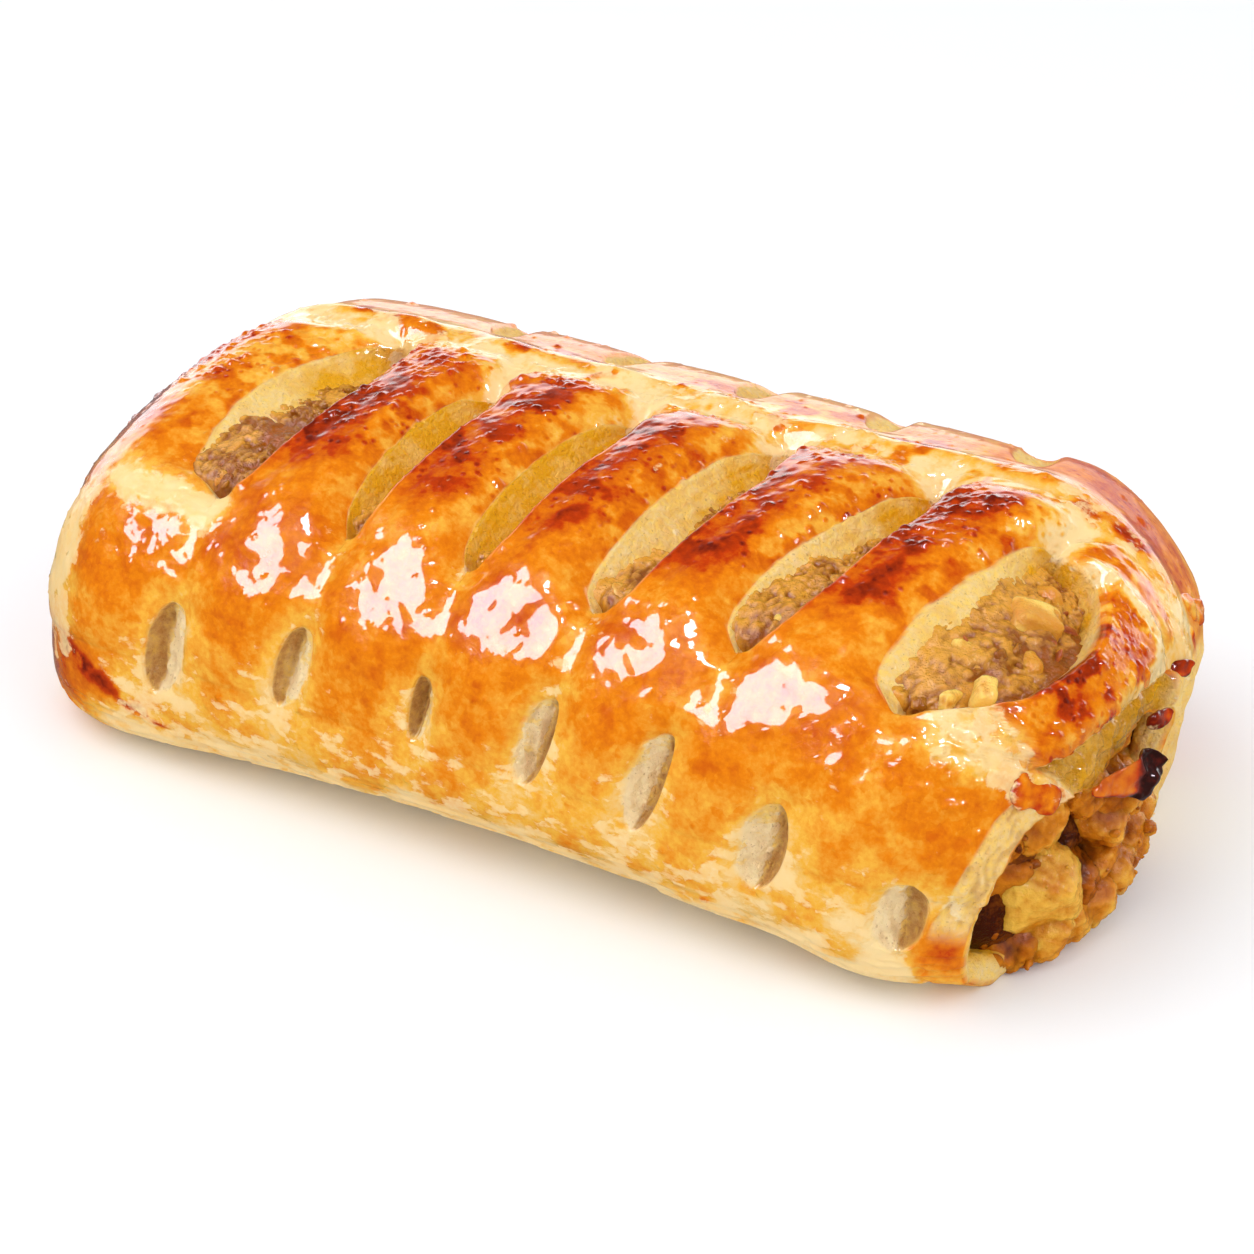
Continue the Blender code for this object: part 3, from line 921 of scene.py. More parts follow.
        # Large forms.
        swell = sizes().swell / MM
        top = np.clip(np.sin(angle), 0, 1) ** 0.5
        height = swell * top * ends * (1 - m["sunk"]) * (1 - 0.35 * smooth(degrees, 118, 130))
        for name, plain, *layers in RELIEF:
            height += m[name] * (plain + sum(a * rough(size, seed) for a, size, seed in layers))
        rim = bell(self.from_left, 0.9, 1.5) * inner * outside
        height += crown * (0.60 * rim + 0.55 * (1 - q**2))
        round_rim = np.clip(1 - self.from_left / 3.4, 0, 1) ** 2 * smooth(degrees, 62, 84)
        height -= crown * outside * (1.5 * round_rim * inner + 0.9 * smooth(q, 0.25, 1.0) ** 2)
        height += bell(degrees, 117, 3.4) * 0.9 * (0.5 + 0.9 * rough(7, 5)) * ends
        height += m["pillow"] * 0.60 * (1 - q**2) ** 2 * (1 + 0.8 * rough(7, 14))
        height += 1.1 * bell(x, 74, 9) * bell(degrees, 116, 13)
        height -= 1.3 * bell(x, 26, 22) * bell(degrees, 112, 13)
        height += m["skirt"] * 0.40 * smooth(rough(1.6, 31, (0.35, 0.35, 3.0)), -0.1, 0.25) * (z > 0.5)
        height += m["back_wall"] * 0.45 * rough(1.3, 37, (0.4, 1.0, 0.16))
        layers = np.sin(self.from_right / 0.20 + 7 * rough(4, 39))
        crumbs = rough(1.6, 40) + 0.5 * rough(0.8, 41)
        self.layers = m["front_cut"] * (layers + 2 * crumbs) / 3
        height += m["front_cut"] * (0.05 * layers + 0.40 * crumbs - 0.25)
        cracks = smooth(rough(0.9, 33, (0.35, 1, 1)), -0.15, 0.15)
        height += (m["corner"] + m["band"]) * 0.32 * cracks
        # The closed end is folded shut: a pressed seam runs across its cap at mid height.
        end = smooth(-s / MM, self.loaf.corner / MM - 5, self.loaf.corner / MM + 1)
        fold = bell(z, 17 + 1.5 * np.sin(y * 0.160), 1.1)
        height += end * (0.5 * bell(z, 20, 2.2) - 1.3 * fold)

        # Small forms: waves and wrinkles in the glaze, blisters, and the torn walls of the slits.
        height += outside * 0.07 * cloudy(2.6, 2, 17) * (0.25 + crown * smooth(degrees, 40, 56))
        height += 0.030 * rough(1.1, 19) * (0.7 + 1.2 * crown)
        patch = smooth(cloudy(8, 2, 23), -0.25, 0.35)
        chance = patch * crown * smooth(degrees, 42, 82) + 0.30 * bell(degrees, 112, 8)
        chance = (chance + 0.6 * m["last"] + 0.03) * ends
        flat = np.stack((s, arc), -1)
        big, random_big = domes(flat, 1.9, 0.75 * chance, 41)
        small, _ = domes(flat, 1.0, 0.8 * chance + 0.03, 51)
        blisters = sizes().blister / MM * (big + 0.45 * small)
        height += outside * blisters * (1 - m["skirt"]) * (1 - m["corner"])
        height += inside * (0.16 * cloudy(1.5, 3, 27) + 0.3 * rough(5, 26) + 0.05 * rough(0.8, 32))
        down = depth * MM
        self.streaks = inside * noise(np.stack((3.2 * down, 0.35 * s, 0.10 * arc), -1), 1.1, 28)
        self.torn = (1 - crown) * inside * noise(np.stack((s, 0.22 * arc, down), -1), 0.9, 30)
        height += 0.10 * self.streaks + 0.34 * self.torn
        height += (1 - crown) * inside * 0.30 * cloudy(1.3, 3, 29)

        self.points = self.base + normal * (height * MM + self.drop)[..., None]
        self.points[..., 2] = np.maximum(self.points[..., 2], 0.0)
        self.set_fields(degrees, z, depth, big * random_big, inside)

    def find_marks(self, degrees):
        """Masks from 0 to 1 for the parts of the crust that differ in form or finish."""
        s, found = self.s / MM, {}
        wobble = self.rough(5, 91)
        found["everywhere"] = np.ones_like(s)
        found["crown"] = between(degrees, 33, 107, 6)
        found["ends"] = smooth(self.loaf.corner / MM - np.abs(s), -2, 16)
        found["closed_cap"] = smooth(-s + 3 * wobble, 70, 84)
        found["shoulder"] = between(degrees, 8, 40, 7)
        found["upper_front"] = found["shoulder"] * found["ends"]
        found["front"] = between(degrees, -40, 18, 8)
        found["low_front"] = found["front"] * smooth(-degrees, -8, 10)
        found["pillow"] = between(degrees, 12, 40, 7) * (self.strip > 0) * (self.strip < SEAMS - 1)
        found["wrinkles"] = bell(s, -51, 8) * bell(degrees, 22, 9) + bell(s, 64, 7) * bell(degrees, 17, 7)
        found["ridge"] = bell(degrees, 110, 5) * found["ends"]
        found["rear"] = smooth(degrees, 100, 112) * (1 - 0.7 * smooth(degrees, 119, 128))
        skirt = 1 - smooth(degrees + 3 * wobble, -20, -9)
        found["skirt"] = np.where(degrees > 180, smooth(degrees, 198, 212), skirt)
        for name, low, high, soft, first, last, blur in PATCHES:
            found[name] = between(degrees, low, high, soft) * between(s, first, last, blur)
        found["pale_left"] = between(degrees, 6, 27, 5) * smooth(-s, 61, 65)
        found["heel"] = between(degrees, -30, -1, 5) * smooth(-s, 52, 64)
        sunk, pits, tails, roots = np.zeros((4, *s.shape))
        for k in range(SEAMS - 1):
            here = slice(k, k + 1)
            width = np.maximum(self.slits.width[:, here] / MM, 5)
            along = bell(s, self.slits.place[:, here] / MM, 0.80 * width)
            sunk = np.maximum(sunk, self.slits.open[:, here] * along)
        found["sunk"] = sunk * (1 - 0.6 * smooth(degrees, 114, 124))
        for _, low, high, at_low, at_high, width in ALL_SIDE_SLITS:
            lean = (at_high - at_low) * ((degrees - low) / (high - low) - 0.5)
            along = bell(s, (at_low + at_high) / 2 + lean, width / 2 + 2.3)
            pits += along * bell(degrees, (low + high) / 2, (high - low) * 0.62)
        for rows in CROWN_SLITS:
            low, high = rows[0], rows[-1]
            tails += bell(s, (high[1] + high[2]) / 2, 2.2) * between(degrees, high[0] - 5, 109, 3)
            roots += bell(s, (low[1] + low[2]) / 2, 2.4) * bell(degrees, low[0] - 5, 8)
        for name, mask in (("pits", pits), ("tails", tails), ("roots", roots)):
            found[name] = np.clip(mask, 0, 1)
        found["band"] = bell(degrees, 31.0 + 1.2 * wobble, 3.6) * between(s, -61, -40, 2.5)
        last = smooth(degrees - 36.5 + (s - 66) * 0.75 + 0.8 * self.rough(2, 92), -0.9, 0.9)
        last = last * (1 - smooth(degrees + 2 * wobble, 90, 99)) * (self.strip == SEAMS - 1)
        found["last"] = last * smooth(s, 64, 66)
        corner = between(degrees + 2 * wobble, 23, 38, 4) * between(s, 61, 90, 3)
        found["corner"] = corner * (1 - found["last"]) * (s < 90)
        ledge = self.slits.place[:, -1:] / MM
        under = smooth(s + 0.35 * self.rough(1.6, 93), ledge - 0.3, ledge + 0.4)
        found["under"] = under * between(degrees, 31, 98, 2.5)
        found["back_wall"] = smooth(s, 81.5, 84) * smooth(degrees, 93, 101)
        edge = self.slits.rim[:, None] / MM - 3.8 + 0.5 * wobble
        found["front_cut"] = smooth(s, edge - 0.3, edge + 0.3) * between(degrees, -7, 27, 3)
        return found

    def bake_map(self, degrees, z):
        """How brown each place is, from 0, cream, through 0.5, amber, to 1, burnt."""
        s, m, cloudy = self.s / MM, self.marks, self.cloudy
        crown = m["crown"]
        cloud, patches = cloudy(11, 3, 61), cloudy(4.5, 3, 67)
        mottle = smooth(cloudy(2.6, 3, 69), -0.25, 0.30) - 0.5
        baked = 0.47 + 0.07 * cloud + 0.08 * patches
        for name, amount, even, patchy in BROWNING:
            baked += amount * m[name] * (even + patchy * patches)
        caramel_left = smooth(degrees, 36, 52) * (1 - smooth(self.q + 0.35 * patches, -0.15, 0.85))
        tops = 0.31 * caramel_left + 0.22 * mottle * smooth(degrees, 34, 52) - 0.10 * (1 - smooth(degrees, 34, 50))
        # Each strip is a little paler towards its right rim: amber glaze there, and painted light on the
        # slope that faces away from the lamp.
        tops -= 0.03 * smooth(self.q, 0.15, 0.6) + 0.08 * smooth(degrees, 84, 102)
        baked += crown * tops - 0.36 * m["ridge"] * (0.9 + 0.7 * cloud)
        baked += 0.42 * smooth(cloudy(5, 3, 77), 0.16, 0.46) * between(degrees, 106, 132, 4)
        last = 0.16 * mottle - 0.13 + 0.20 * (1 - smooth(degrees, 42, 54)) - 0.26 * smooth(degrees, 70, 84)
        baked += m["last"] * last
        fold = 2.0 - 0.72 * (s + 69) + 2.0 * self.rough(4, 94)
        crease = bell(degrees, fold, 2.2 + 1.0 * patches) * between(s, -72, -45, 2)
        baked += 0.54 * crease * smooth(cloudy(2.2, 3, 95), -0.55, 0.25)
        plain = 0.50 + 0.10 * cloud + 0.16 * patches + 0.10 * smooth(z, 18, 30)
        plain = plain - 0.30 * (1 - smooth(z + 2 * patches, 3, 9))
        baked += (plain - baked) * m["closed_cap"]
        return np.minimum(baked, 1 - 0.34 * smooth(degrees, 110, 120))

    def set_fields(self, degrees, z, depth, spots, inside):
        """The fields that the pastry's material reads."""
        s, m, rough, cloudy, across = self.s / MM, self.marks, self.rough, self.cloudy, self.across
        crown, under = m["crown"], m["under"]
        edge = 0.42 + 0.22 * cloudy(3, 2, 71)
        cut = smooth(depth, edge * 0.5, edge * 1.5)
        steep = (across > BOTTOM_STEP) & (across <= 1) & (crown > 0.5)
        cut = np.where(steep, smooth(depth, 0.5, 1.4), cut)
        bare = np.maximum(m["back_wall"], m["front_cut"])
        bare = np.maximum(bare, 0.25 * m["corner"] * smooth(degrees, 25, 31))

        # Where the filling soaks the cut dough: low in a slit, and all over the two narrow ones.
        seam = self.strip + (across < BOTTOM_STEP)
        share = depth / np.maximum(self.slits.depth.max(1)[:, None] / MM, 1)
        wet = smooth(share + 0.55 * smooth(degrees, 60, 95) + 0.15 * cloudy(3, 2, 73), 0.35, 1.15)
        narrow = np.isin(seam, (2, 3)) & (crown > 0.3)
        wet = np.maximum(wet, np.where(narrow, 1.0, 0.0) + 0.2 * rough(5, 74))
        wet = (wet + 0.30 * self.streaks) * smooth(crown, 0.1, 0.4)
        wet = np.maximum(wet * cut, (0.95 + 0.35 * rough(2.4, 34)) * under)

        glaze = (1 - cut) * (1 - bare) * (1 - 0.8 * m["skirt"]) * (1 - 0.85 * m["band"])
        glaze = glaze * (1 - smooth(degrees, 117, 126) * (0.40 + 0.35 * smooth(s, 40, 50)))
        glaze = np.maximum(glaze, 0.75 * under + crown * cut * (0.25 + 0.3 * wet))

        # Flaked to pale layers, most of all on the far slope of a side slit.
        over = np.where(seam > FIRST_MIRRORED, 1 - across, across)
        ridge = np.clip(m["ridge"] + bell(degrees, 117, 4), 0, 1) * smooth(rough(6, 75), -0.5, 0.4)
        low = m["front"] * smooth(-degrees, -10, 8)
        slope = 0.42 - 0.42 * cut + 0.68 * cut * smooth(over, 0.42, 0.56)
        flaking = 0.36 * low + 0.26 * m["skirt"] + 0.55 * m["corner"] + 0.80 * m["band"] + slope * m["pits"]
        flaking += 0.45 * ridge + 0.6 * m["tails"] + 0.30 * m["roots"]
        flaking += 0.8 * between(degrees, -10, 30, 6) * smooth(-s, 60, 64)
        toasted = between(degrees, -30, -2, 5) * (smooth(s, 64, 67) + smooth(-s, 52, 60))
        flaking = flaking * (1 - 0.8 * toasted) * (1 - m["closed_cap"])

        # Painted shade: dim dough in the pits of the side slits, under the last strip, along the lines
        # between the layers of the cut rim and at the foot of a steep wall.
        pit = (1 - crown) * cut * (1 - bare) * (1 - under) * (1 - 0.75 * between(degrees, 112, 160, 4))
        shade = pit * (between(over, 0.16, 0.46, 0.10) + 0.25 * cloudy(1.6, 3, 76) - 0.25 * self.torn)
        shade += (0.35 + 0.3 * rough(2.0, 36)) * under + 0.5 * smooth(-self.layers, -0.05, 0.7)
        shade += 0.45 * crown * cut * between(across, 0.58, 0.74, 0.06)
        bubble = crown * smooth(degrees, 38, 52) * smooth(cloudy(6, 2, 24), -0.45, 0.25)
        bubble += 0.8 * m["last"] + 0.6 * smooth(degrees, 110, 118)
        bubble += (0.3 - bubble) * m["closed_cap"]
        blistered = 0.26 * spots * (1 - inside) * (1 - m["last"] * smooth(degrees, 50, 70))
        fields = {
            "bake": self.bake_map(degrees, z) + blistered,
            "glaze": glaze,
            "dough": np.maximum(np.maximum(cut, 0.9 * bare), 0.5 * under),
            "wet": wet,
            "flake": flaking * (1 - under),
            "bubble": bubble * (1 - inside) * (1 - bare) * (1 - under),
            "shade": shade,
        }
        self.fields = {key: np.clip(value, 0, 1) for key, value in fields.items()}


def surface_normals(points):
    """Unit normals of a grid, from differences along rows, which wrap, and columns."""
    along = np.gradient(points, axis=1)
    around = np.roll(points, -1, axis=0) - np.roll(points, 1, axis=0)
    return unit(np.cross(along, around))


def hidden_skin(crust, s):
    """A column of the crust's inner skin: the plain loaf moved in along its normals."""
    s = np.asarray(s, float)[:, None]
    angle = crust.angle[:, None] * np.ones_like(s)
    return crust.loaf.point(s, angle) - crust.loaf.normal(s, angle) * INNER


def crust_slices(crust, material):
    """Cuts the grid at the seams and closes each slice behind its outer surface."""
    normals = surface_normals(crust.points)
    bottom = round(BOTTOM_STEP * (ZONE_COLUMNS - 1))
    cuts = [0] + [crust.blocks[f"zone_{k}"] + bottom for k in range(SEAMS)] + [crust.s.shape[1] - 1]
    rows, made = len(crust.angle), []
    for k, (start, stop) in enumerate(zip(cuts, cuts[1:])):
        span = slice(start, stop + 1)
        points, facing = crust.points[:, span], normals[:, span]
        fields = {key: value[:, span] for key, value in crust.fields.items()}
        columns = [points]
        if k == SEAMS:
            lips, lip_fields = mouth_lip(crust)
            columns.append(lips)
            fields = {key: np.concatenate((fields[key], lip_fields[key]), 1) for key in fields}
        else:
            columns.append(hidden_skin(crust, crust.s[:, stop]))
        if k == 0:
            columns.append(hidden_skin(crust, np.full(rows, -crust.loaf.corner)))
            pole = hidden_skin(crust, np.full(rows, -crust.loaf.corner - crust.loaf.cap))
            columns.append(np.broadcast_to(pole.mean(0, keepdims=True), pole.shape))
        else:
            columns.append(hidden_skin(crust, crust.s[:, start]))
        grid = np.concatenate(columns, 1)
        count = grid.shape[1]
        added = count - fields["bake"].shape[1]
        fields = {key: np.pad(value, ((0, 0), (0, added)), mode="edge") for key, value in fields.items()}
        index = np.arange(rows * count).reshape(rows, count)
        if k == 0:
            grid[:, 0] = grid[:, 0].mean(0)
            index[:, 0] = index[0, 0]
            index[:, -1] = index[0, -1]
        faces = index.ravel()[grid_faces(rows, count, True, k > 0)]
        facing = np.concatenate((facing, surface_normals(grid)[:, facing.shape[1] :]), 1)
        name = ("closed_end", "open_end")[k == SEAMS] if k in (0, SEAMS) else f"strip_{k}"
        facing = facing.reshape(-1, 3)
        made.append(piece(f"crust_{name}", grid.reshape(-1, 3), faces, material, fields, facing))
    return made


def mouth_lip(crust):
    """The crust's edge at the mouth: it rolls in over a half round of its thickness and then runs
    back inside, as a lining. Under the last strip the dough is thin."""
    thin = between(crust.degrees[:, None], 31, 98, 4)
    thick = 4.2 * MM - 2.0 * MM * thin
    turn = np.linspace(0, math.pi, 17)[1:]
    inset = np.concatenate((thick * (1 - np.cos(turn)) / 2, thick, 0 * thick + INNER - 0.5 * MM), 1)
    out = np.concatenate((thick * 0.30 * np.sin(turn), 0 * thick, 0 * thick), 1)
    rim = crust.slits.rim[:, None]
    s = np.concatenate((np.repeat(rim, len(turn), 1), rim - 4 * MM, rim - 9 * MM), 1)
    angle = crust.angle[:, None] * np.ones_like(s)
    normal = crust.loaf.normal(s, angle)
    ahead = unit(crust.loaf.ahead(s, angle))
    points = crust.loaf.point(s, angle) - normal * inset[..., None] + ahead * out[..., None]
    points += (crust.points[:, -1:] - crust.base[:, -1:]) * np.linspace(1, 0, s.shape[1])[:, None]
    across = np.sin(math.pi * np.clip(inset / thick, 0, 1))
    layers = noise(points * np.array((1, 0.4, 0.4)), 0.7, 81)
    coarse = noise(points, 2.2, 82)
    points += ahead * ((0.28 * MM * layers + 0.5 * MM * coarse) * across)[..., None]
    points[..., 2] = np.maximum(points[..., 2], 0)
    bare = np.clip(inset / (0.9 * MM), 0, 1)
    return points, {
        "bake": np.clip(0.35 + 0.30 * thin + 0.2 * layers, 0, 1),
        "glaze": 0.5 * thin * bare + (1 - bare) * (1 - thin),
        "dough": np.maximum(bare, thin) * (1 - 0.45 * thin),
        "wet": np.maximum(smooth(inset, thick * 0.5, thick * 1.0) * 0.7, 0.85 * thin),
        "flake": 0 * inset,
        "bubble": 0 * inset,
        "shade": 0 * inset,
    }


# Filling ---------------------------------------------------------------------------------------


def lumps(centres, halves, seed, rows=8, columns=10, square=0.6, rough=0.2, grain=0.0, tilt=True):
    """Many rounded cubes with rough skins, as one mesh. On a sphere's grid each coordinate is the
    sine or cosine to the power square, which swells the sphere to a cube. Noise along the radius
    roughens it, and each is turned at random. Returns points, faces and the noise at each point."""
    centres, halves = np.atleast_2d(centres), np.atleast_2d(halves)
    count = len(centres)
    up = np.linspace(-math.pi / 2, math.pi / 2, rows)[:, None]
    round_ = (np.arange(columns) * 2 * math.pi / columns)[None, :]

    def power(value):
        """The signed power that squares the sphere."""
        return np.sign(value) * np.abs(value) ** square

    flat, rise = power(np.cos(up)), power(np.sin(up)) * np.ones_like(round_)
    ball = np.stack((flat * power(np.cos(round_)), flat * power(np.sin(round_)), rise), -1)
    ball[0], ball[-1] = (0, 0, -1), (0, 0, 1)
    number = np.arange(count)[:, None, None, None]
    place = ball[None] + number * np.array((5.17, 3.31, 7.77))
    push = clouds(place * MM, 1.25, 2, seed)
    size = halves.mean(1)[:, None, None]
    fine = 0
    if grain:
        real = place * size[..., None]
        fine = noise(real, 1.0, seed + 5) + 0.5 * noise(real, 0.5, seed + 6)
    radius = 1 + rough * push + (grain / size) * fine
    points = ball[None] * halves[:, None, None, :] * radius[..., None]
    if tilt:
        cells = np.stack((np.arange(count), np.arange(count) + 7), -1)[:, None] + np.arange(3)[:, None]
        a, b, c = scatter(cells, seed).T * 2 * math.pi
        zero, one = np.zeros(count), np.ones(count)
        turn_z = np.array(((np.cos(a), -np.sin(a), zero), (np.sin(a), np.cos(a), zero), (zero, zero, one)))
        turn_x = np.array(((one, zero, zero), (zero, np.cos(b), -np.sin(b)), (zero, np.sin(b), np.cos(b))))
        turn_y = np.array(((np.cos(c), zero, np.sin(c)), (zero, one, zero), (-np.sin(c), zero, np.cos(c))))
        turns = np.einsum("ijn,jkn,kln->nil", turn_z, turn_x, turn_y)
        points = np.einsum("nil,nrcl->nrci", turns, points)
    points = points + centres[:, None, None, :]
    index = np.arange(rows * columns).reshape(rows, columns)
    index[0], index[-1] = index[0, 0], index[-1, 0]
    faces = index.ravel()[grid_faces(rows, columns, False, True)][..., ::-1].reshape(-1, 4)
    faces = faces[None] + (np.arange(count) * rows * columns)[:, None, None]
    return points.reshape(-1, 3), faces.reshape(-1, 4), (push + 0.5 * fine).reshape(-1)


def closed_sheet(top, below):
    """A closed skin round a grid of points: the grid, and the same grid moved down by below, joined
    along their edges. Returns points and faces."""
    rows, columns = top.shape[:2]
    both = np.concatenate((top, (top + below)[:, ::-1]), 1)
    index = np.arange(rows * 2 * columns).reshape(rows, -1)
    sides = grid_faces(rows, 2 * columns, False, True)
    ends = []
    for row, flip in ((0, 1), (rows - 1, -1)):
        here = index[row]
        a, b = here[:columns], here[columns:][::-1]
        ends.append(np.stack((a[:-1], b[:-1], b[1:], a[1:]), -1)[:, ::flip])
    faces = np.concatenate((index.ravel()[sides].reshape(-1, 4), *ends))
    return both.reshape(-1, 3), faces


MASH_STEP = 0.40  # degrees from row to row of a bed
MASH_COLUMNS = 64
LUMP_COLUMNS = (33, 57)  # the columns between which loose lumps lie
LUMPS_PER_ROW = 0.03  # for each 2.2 mm of a slit's width
CRUMB_GRID = (8, 10)  # rows and columns of a crumb's skin
CRUMB_POINTS = CRUMB_GRID[0] * CRUMB_GRID[1]
# Beds of mash in the slits: (slit, lowest angle, highest angle, depth below the loaf in mm at the
# lowest angle and at the highest, tone).
MASH_BEDS = (
    (0, 33, 62, 0.5, 2.2, 0.34), (0, 58, 108, 2.6, 4.2, 0.20), (1, 33, 52, 2.2, 4.2, 0.22),
    (2, 33, 46, 2.2, 4.3, 0.10), (3, 32, 56, 1.5, 3.8, 0.05), (3, 56, 90, 3.9, 4.2, 0.15),
    (4, 32, 84, 1.4, 3.6, 0.15), (5, 30, 94, 1.8, 2.5, 0.14),
)


def mash_bed(loaf, slit, low, high, first, last, own, seed):
    """Mash in a slit, as a sheet of lumps in the loaf's two parameters, and its loose lumps."""
    angles = np.arange(low, high, MASH_STEP)
    left, right = (e * MM for e in edges_at(angles, CROWN_SLITS[slit]))
    across = np.linspace(0, 1, MASH_COLUMNS)
    s = (left - 0.6 * MM)[:, None] + (right - left + 1.4 * MM)[:, None] * across
    angle = np.radians(angles)[:, None] * np.ones_like(s)
    base, normal = loaf.point(s, angle), loaf.normal(s, angle)
    flat = np.stack((s, angle * 26 * MM), -1)
    share = smooth(angles, low, high)[:, None]
    deep = first + (last - first) * share
    warp = np.stack((noise(base, 1.7, seed + 7), noise(base, 1.7, seed + 8)), -1)
    packed = cobbles(flat + 0.5 * MM * warp, 2.3, seed)
    small = cobbles(flat + 0.3 * MM * warp[..., ::-1], 1.0, seed + 3)
    grit = cobbles(flat + 0.2 * MM * warp, 0.62, seed + 4)
    bumps = 0.36 * packed + 0.36 * small + 0.24 * grit + 0.5 * noise(base, 4.2, seed + 5)
    bumps = bumps + 0.22 * clouds(base, 1.3, 2, seed + 12) - 0.3
    end = np.minimum(angles - low, high - angles)[:, None]
    lift = bumps - deep - 2.5 * (1 - smooth(end, 0, 4))
    top = base + normal * (lift * MM)[..., None]
    points, faces = closed_sheet(top, np.array((0, 0, -0.002)))
    # Painted shade: the mash is paler on the tops of its lumps and darker in the creases between them, and
    # darker along its right edge, under the steep wall. It is paler on its left edge, where it meets the
    # slope.
    tone = own + 0.80 - 0.22 * packed - 0.42 * small - 0.34 * grit + 0.30 * noise(base, 2.6, seed + 6)
    tone = tone + 0.35 * smooth(across, 0.80, 0.95) - 0.22 * (1 - smooth(across, 0.30, 0.62))
    parts = [(points, faces, {"tone": np.concatenate((tone, tone[:, ::-1]), 1).ravel()})]
    count = int(LUMPS_PER_ROW * len(angles) * (right - left).mean() / MM / 2.2)
    picks = random_rows(count, 4, seed + 9)
    row = (picks[:, 0] * (len(angles) - 1)).astype(int)
    column = (LUMP_COLUMNS[0] + picks[:, 1] * (LUMP_COLUMNS[1] - LUMP_COLUMNS[0])).astype(int)
    size = (0.25 + 0.55 * picks[:, 2] ** 4) * MM
    centres = top[row, column]
    halves = size[:, None] * (0.6 + 0.9 * random_rows(count, 3, seed + 10))
    points, faces, hollow = lumps(centres, halves, seed + 11, *CRUMB_GRID, 0.75, 0.45, 0.05 * MM)
    each = np.repeat(picks[:, 3], CRUMB_POINTS)
    parts.append((points, faces, {"tone": own + 0.35 * each - 0.2 * hollow}))
    return parts


# Larger pieces in the last slit: (angle, place along in mm, depth in mm, half sizes in mm, tone).
SLIT_PIECES = (
    (66, 65.4, 2.3, (3.7, 2.6, 1.9), 0.16), (47, 61.5, 3.2, (2.8, 2.0, 1.5), 0.26),
    (39, 65.2, 2.2, (2.9, 2.0, 1.3), 0.00), (36, 62.6, 1.9, (2.2, 1.4, 0.9), 0.02),
    (53, 67.6, 3.3, (2.4, 1.8, 1.4), 0.28), (80, 65.5, 3.2, (2.4, 1.6, 1.2), 0.30),
    (42, 37.8, 3.0, (1.9, 1.3, 1.0), 0.12), (58, 41.7, 3.6, (1.7, 1.3, 1.0), 0.25),
    (38, 17.6, 2.6, (1.8, 1.2, 0.9), 0.15), (37, -44.2, 2.0, (2.2, 1.5, 1.0), 0.25),
    (46, -46.6, 2.2, (2.0, 1.4, 1.0), 0.30), (52, -41.4, 2.9, (1.7, 1.3, 1.0), 0.40),
)
PEEL = (
    (70, 69.0, 1.7, (1.6, 0.6, 0.25)), (62, 67.8, 1.8, (1.0, 0.5, 0.2)),
    (58, 69.6, 1.9, (1.5, 0.7, 0.3)), (76, 68.3, 2.0, (0.8, 0.5, 0.2)),
    (50, 60.0, 2.0, (0.6, 0.4, 0.2)),
)

# The heap in the mouth: (centre x, y, z, half sizes, tone), in millimetres. Tone runs from 0, pale
# flesh, to 1, dark syrup.
HEAP = (
    (74.6, -19.6, 11.2, 5.0, 4.9, 4.7, 0.14), (73.4, -19.8, 21.0, 3.7, 4.0, 4.4, 0.34),
    (77.2, -13.2, 22.6, 3.0, 3.3, 2.8, 0.46), (79.6, -8.2, 20.8, 2.5, 2.9, 2.7, 0.52),
    (78.2, -9.0, 15.4, 3.0, 3.3, 3.2, 0.48), (78.6, -8.2, 10.6, 2.9, 3.1, 3.2, 0.50),
    (78.8, -11.2, 5.4, 3.1, 3.5, 3.2, 0.32), (75.4, -20.2, 4.4, 4.7, 4.3, 3.0, 0.22),
    (71.2, -23.8, 2.7, 2.7, 2.6, 2.2, 0.50), (73.6, -22.8, 2.2, 2.4, 2.4, 1.9, 0.38),
    (69.6, -24.8, 6.2, 2.4, 2.3, 2.7, 0.66), (70.2, -24.6, 14.6, 3.0, 3.0, 4.4, 0.56),
    (71.0, -23.6, 8.8, 2.7, 2.7, 2.5, 0.80), (79.4, -5.2, 6.2, 2.6, 3.1, 3.2, 0.42),
    (78.4, 0.2, 6.4, 2.9, 3.5, 3.6, 0.46), (77.0, 6.2, 6.0, 2.9, 4.0, 4.2, 0.48),
    (77.2, -15.0, 3.6, 3.0, 3.0, 2.8, 0.30), (76.6, -13.6, 9.4, 2.8, 2.8, 2.7, 0.74),
    (75.6, -4.4, 16.6, 3.0, 3.6, 3.6, 0.58), (76.4, 1.8, 13.6, 3.0, 3.8, 4.0, 0.52),
    (74.6, -4.8, 22.6, 3.0, 3.6, 2.8, 0.64), (73.6, -13.6, 16.0, 2.8, 3.0, 3.0, 0.92),
    (72.2, -14.6, 24.0, 3.2, 3.8, 2.6, 0.70), (70.4, -23.4, 20.4, 2.6, 2.6, 3.2, 0.72),
    (73.6, 8.6, 12.0, 3.6, 4.2, 4.4, 0.50), (73.0, 3.0, 22.0, 3.6, 4.2, 3.4, 0.65),
)


HEAP_GRID = (46, 66)
HEAP_SHRINK = 0.94  # of the half sizes, before the lumps are merged
HEAP_TONE = 0.06
HEAP_CRUMBS = 220


def core_block():
    """The dark syrupy mass behind the dice: one rounded block inside the mouth."""
    centre, half = np.array((63, -2, 12.5)) * MM, np.array((13, 26, 11.5)) * MM
    points, faces, hollow = lumps(centre, half, 3, 40, 60, 0.45, 0.05, 0, False)
    points[:, 2] = np.maximum(points[:, 2], 0.4 * MM)
    return points, faces, {"tone": 0.95 + 0.1 * hollow}


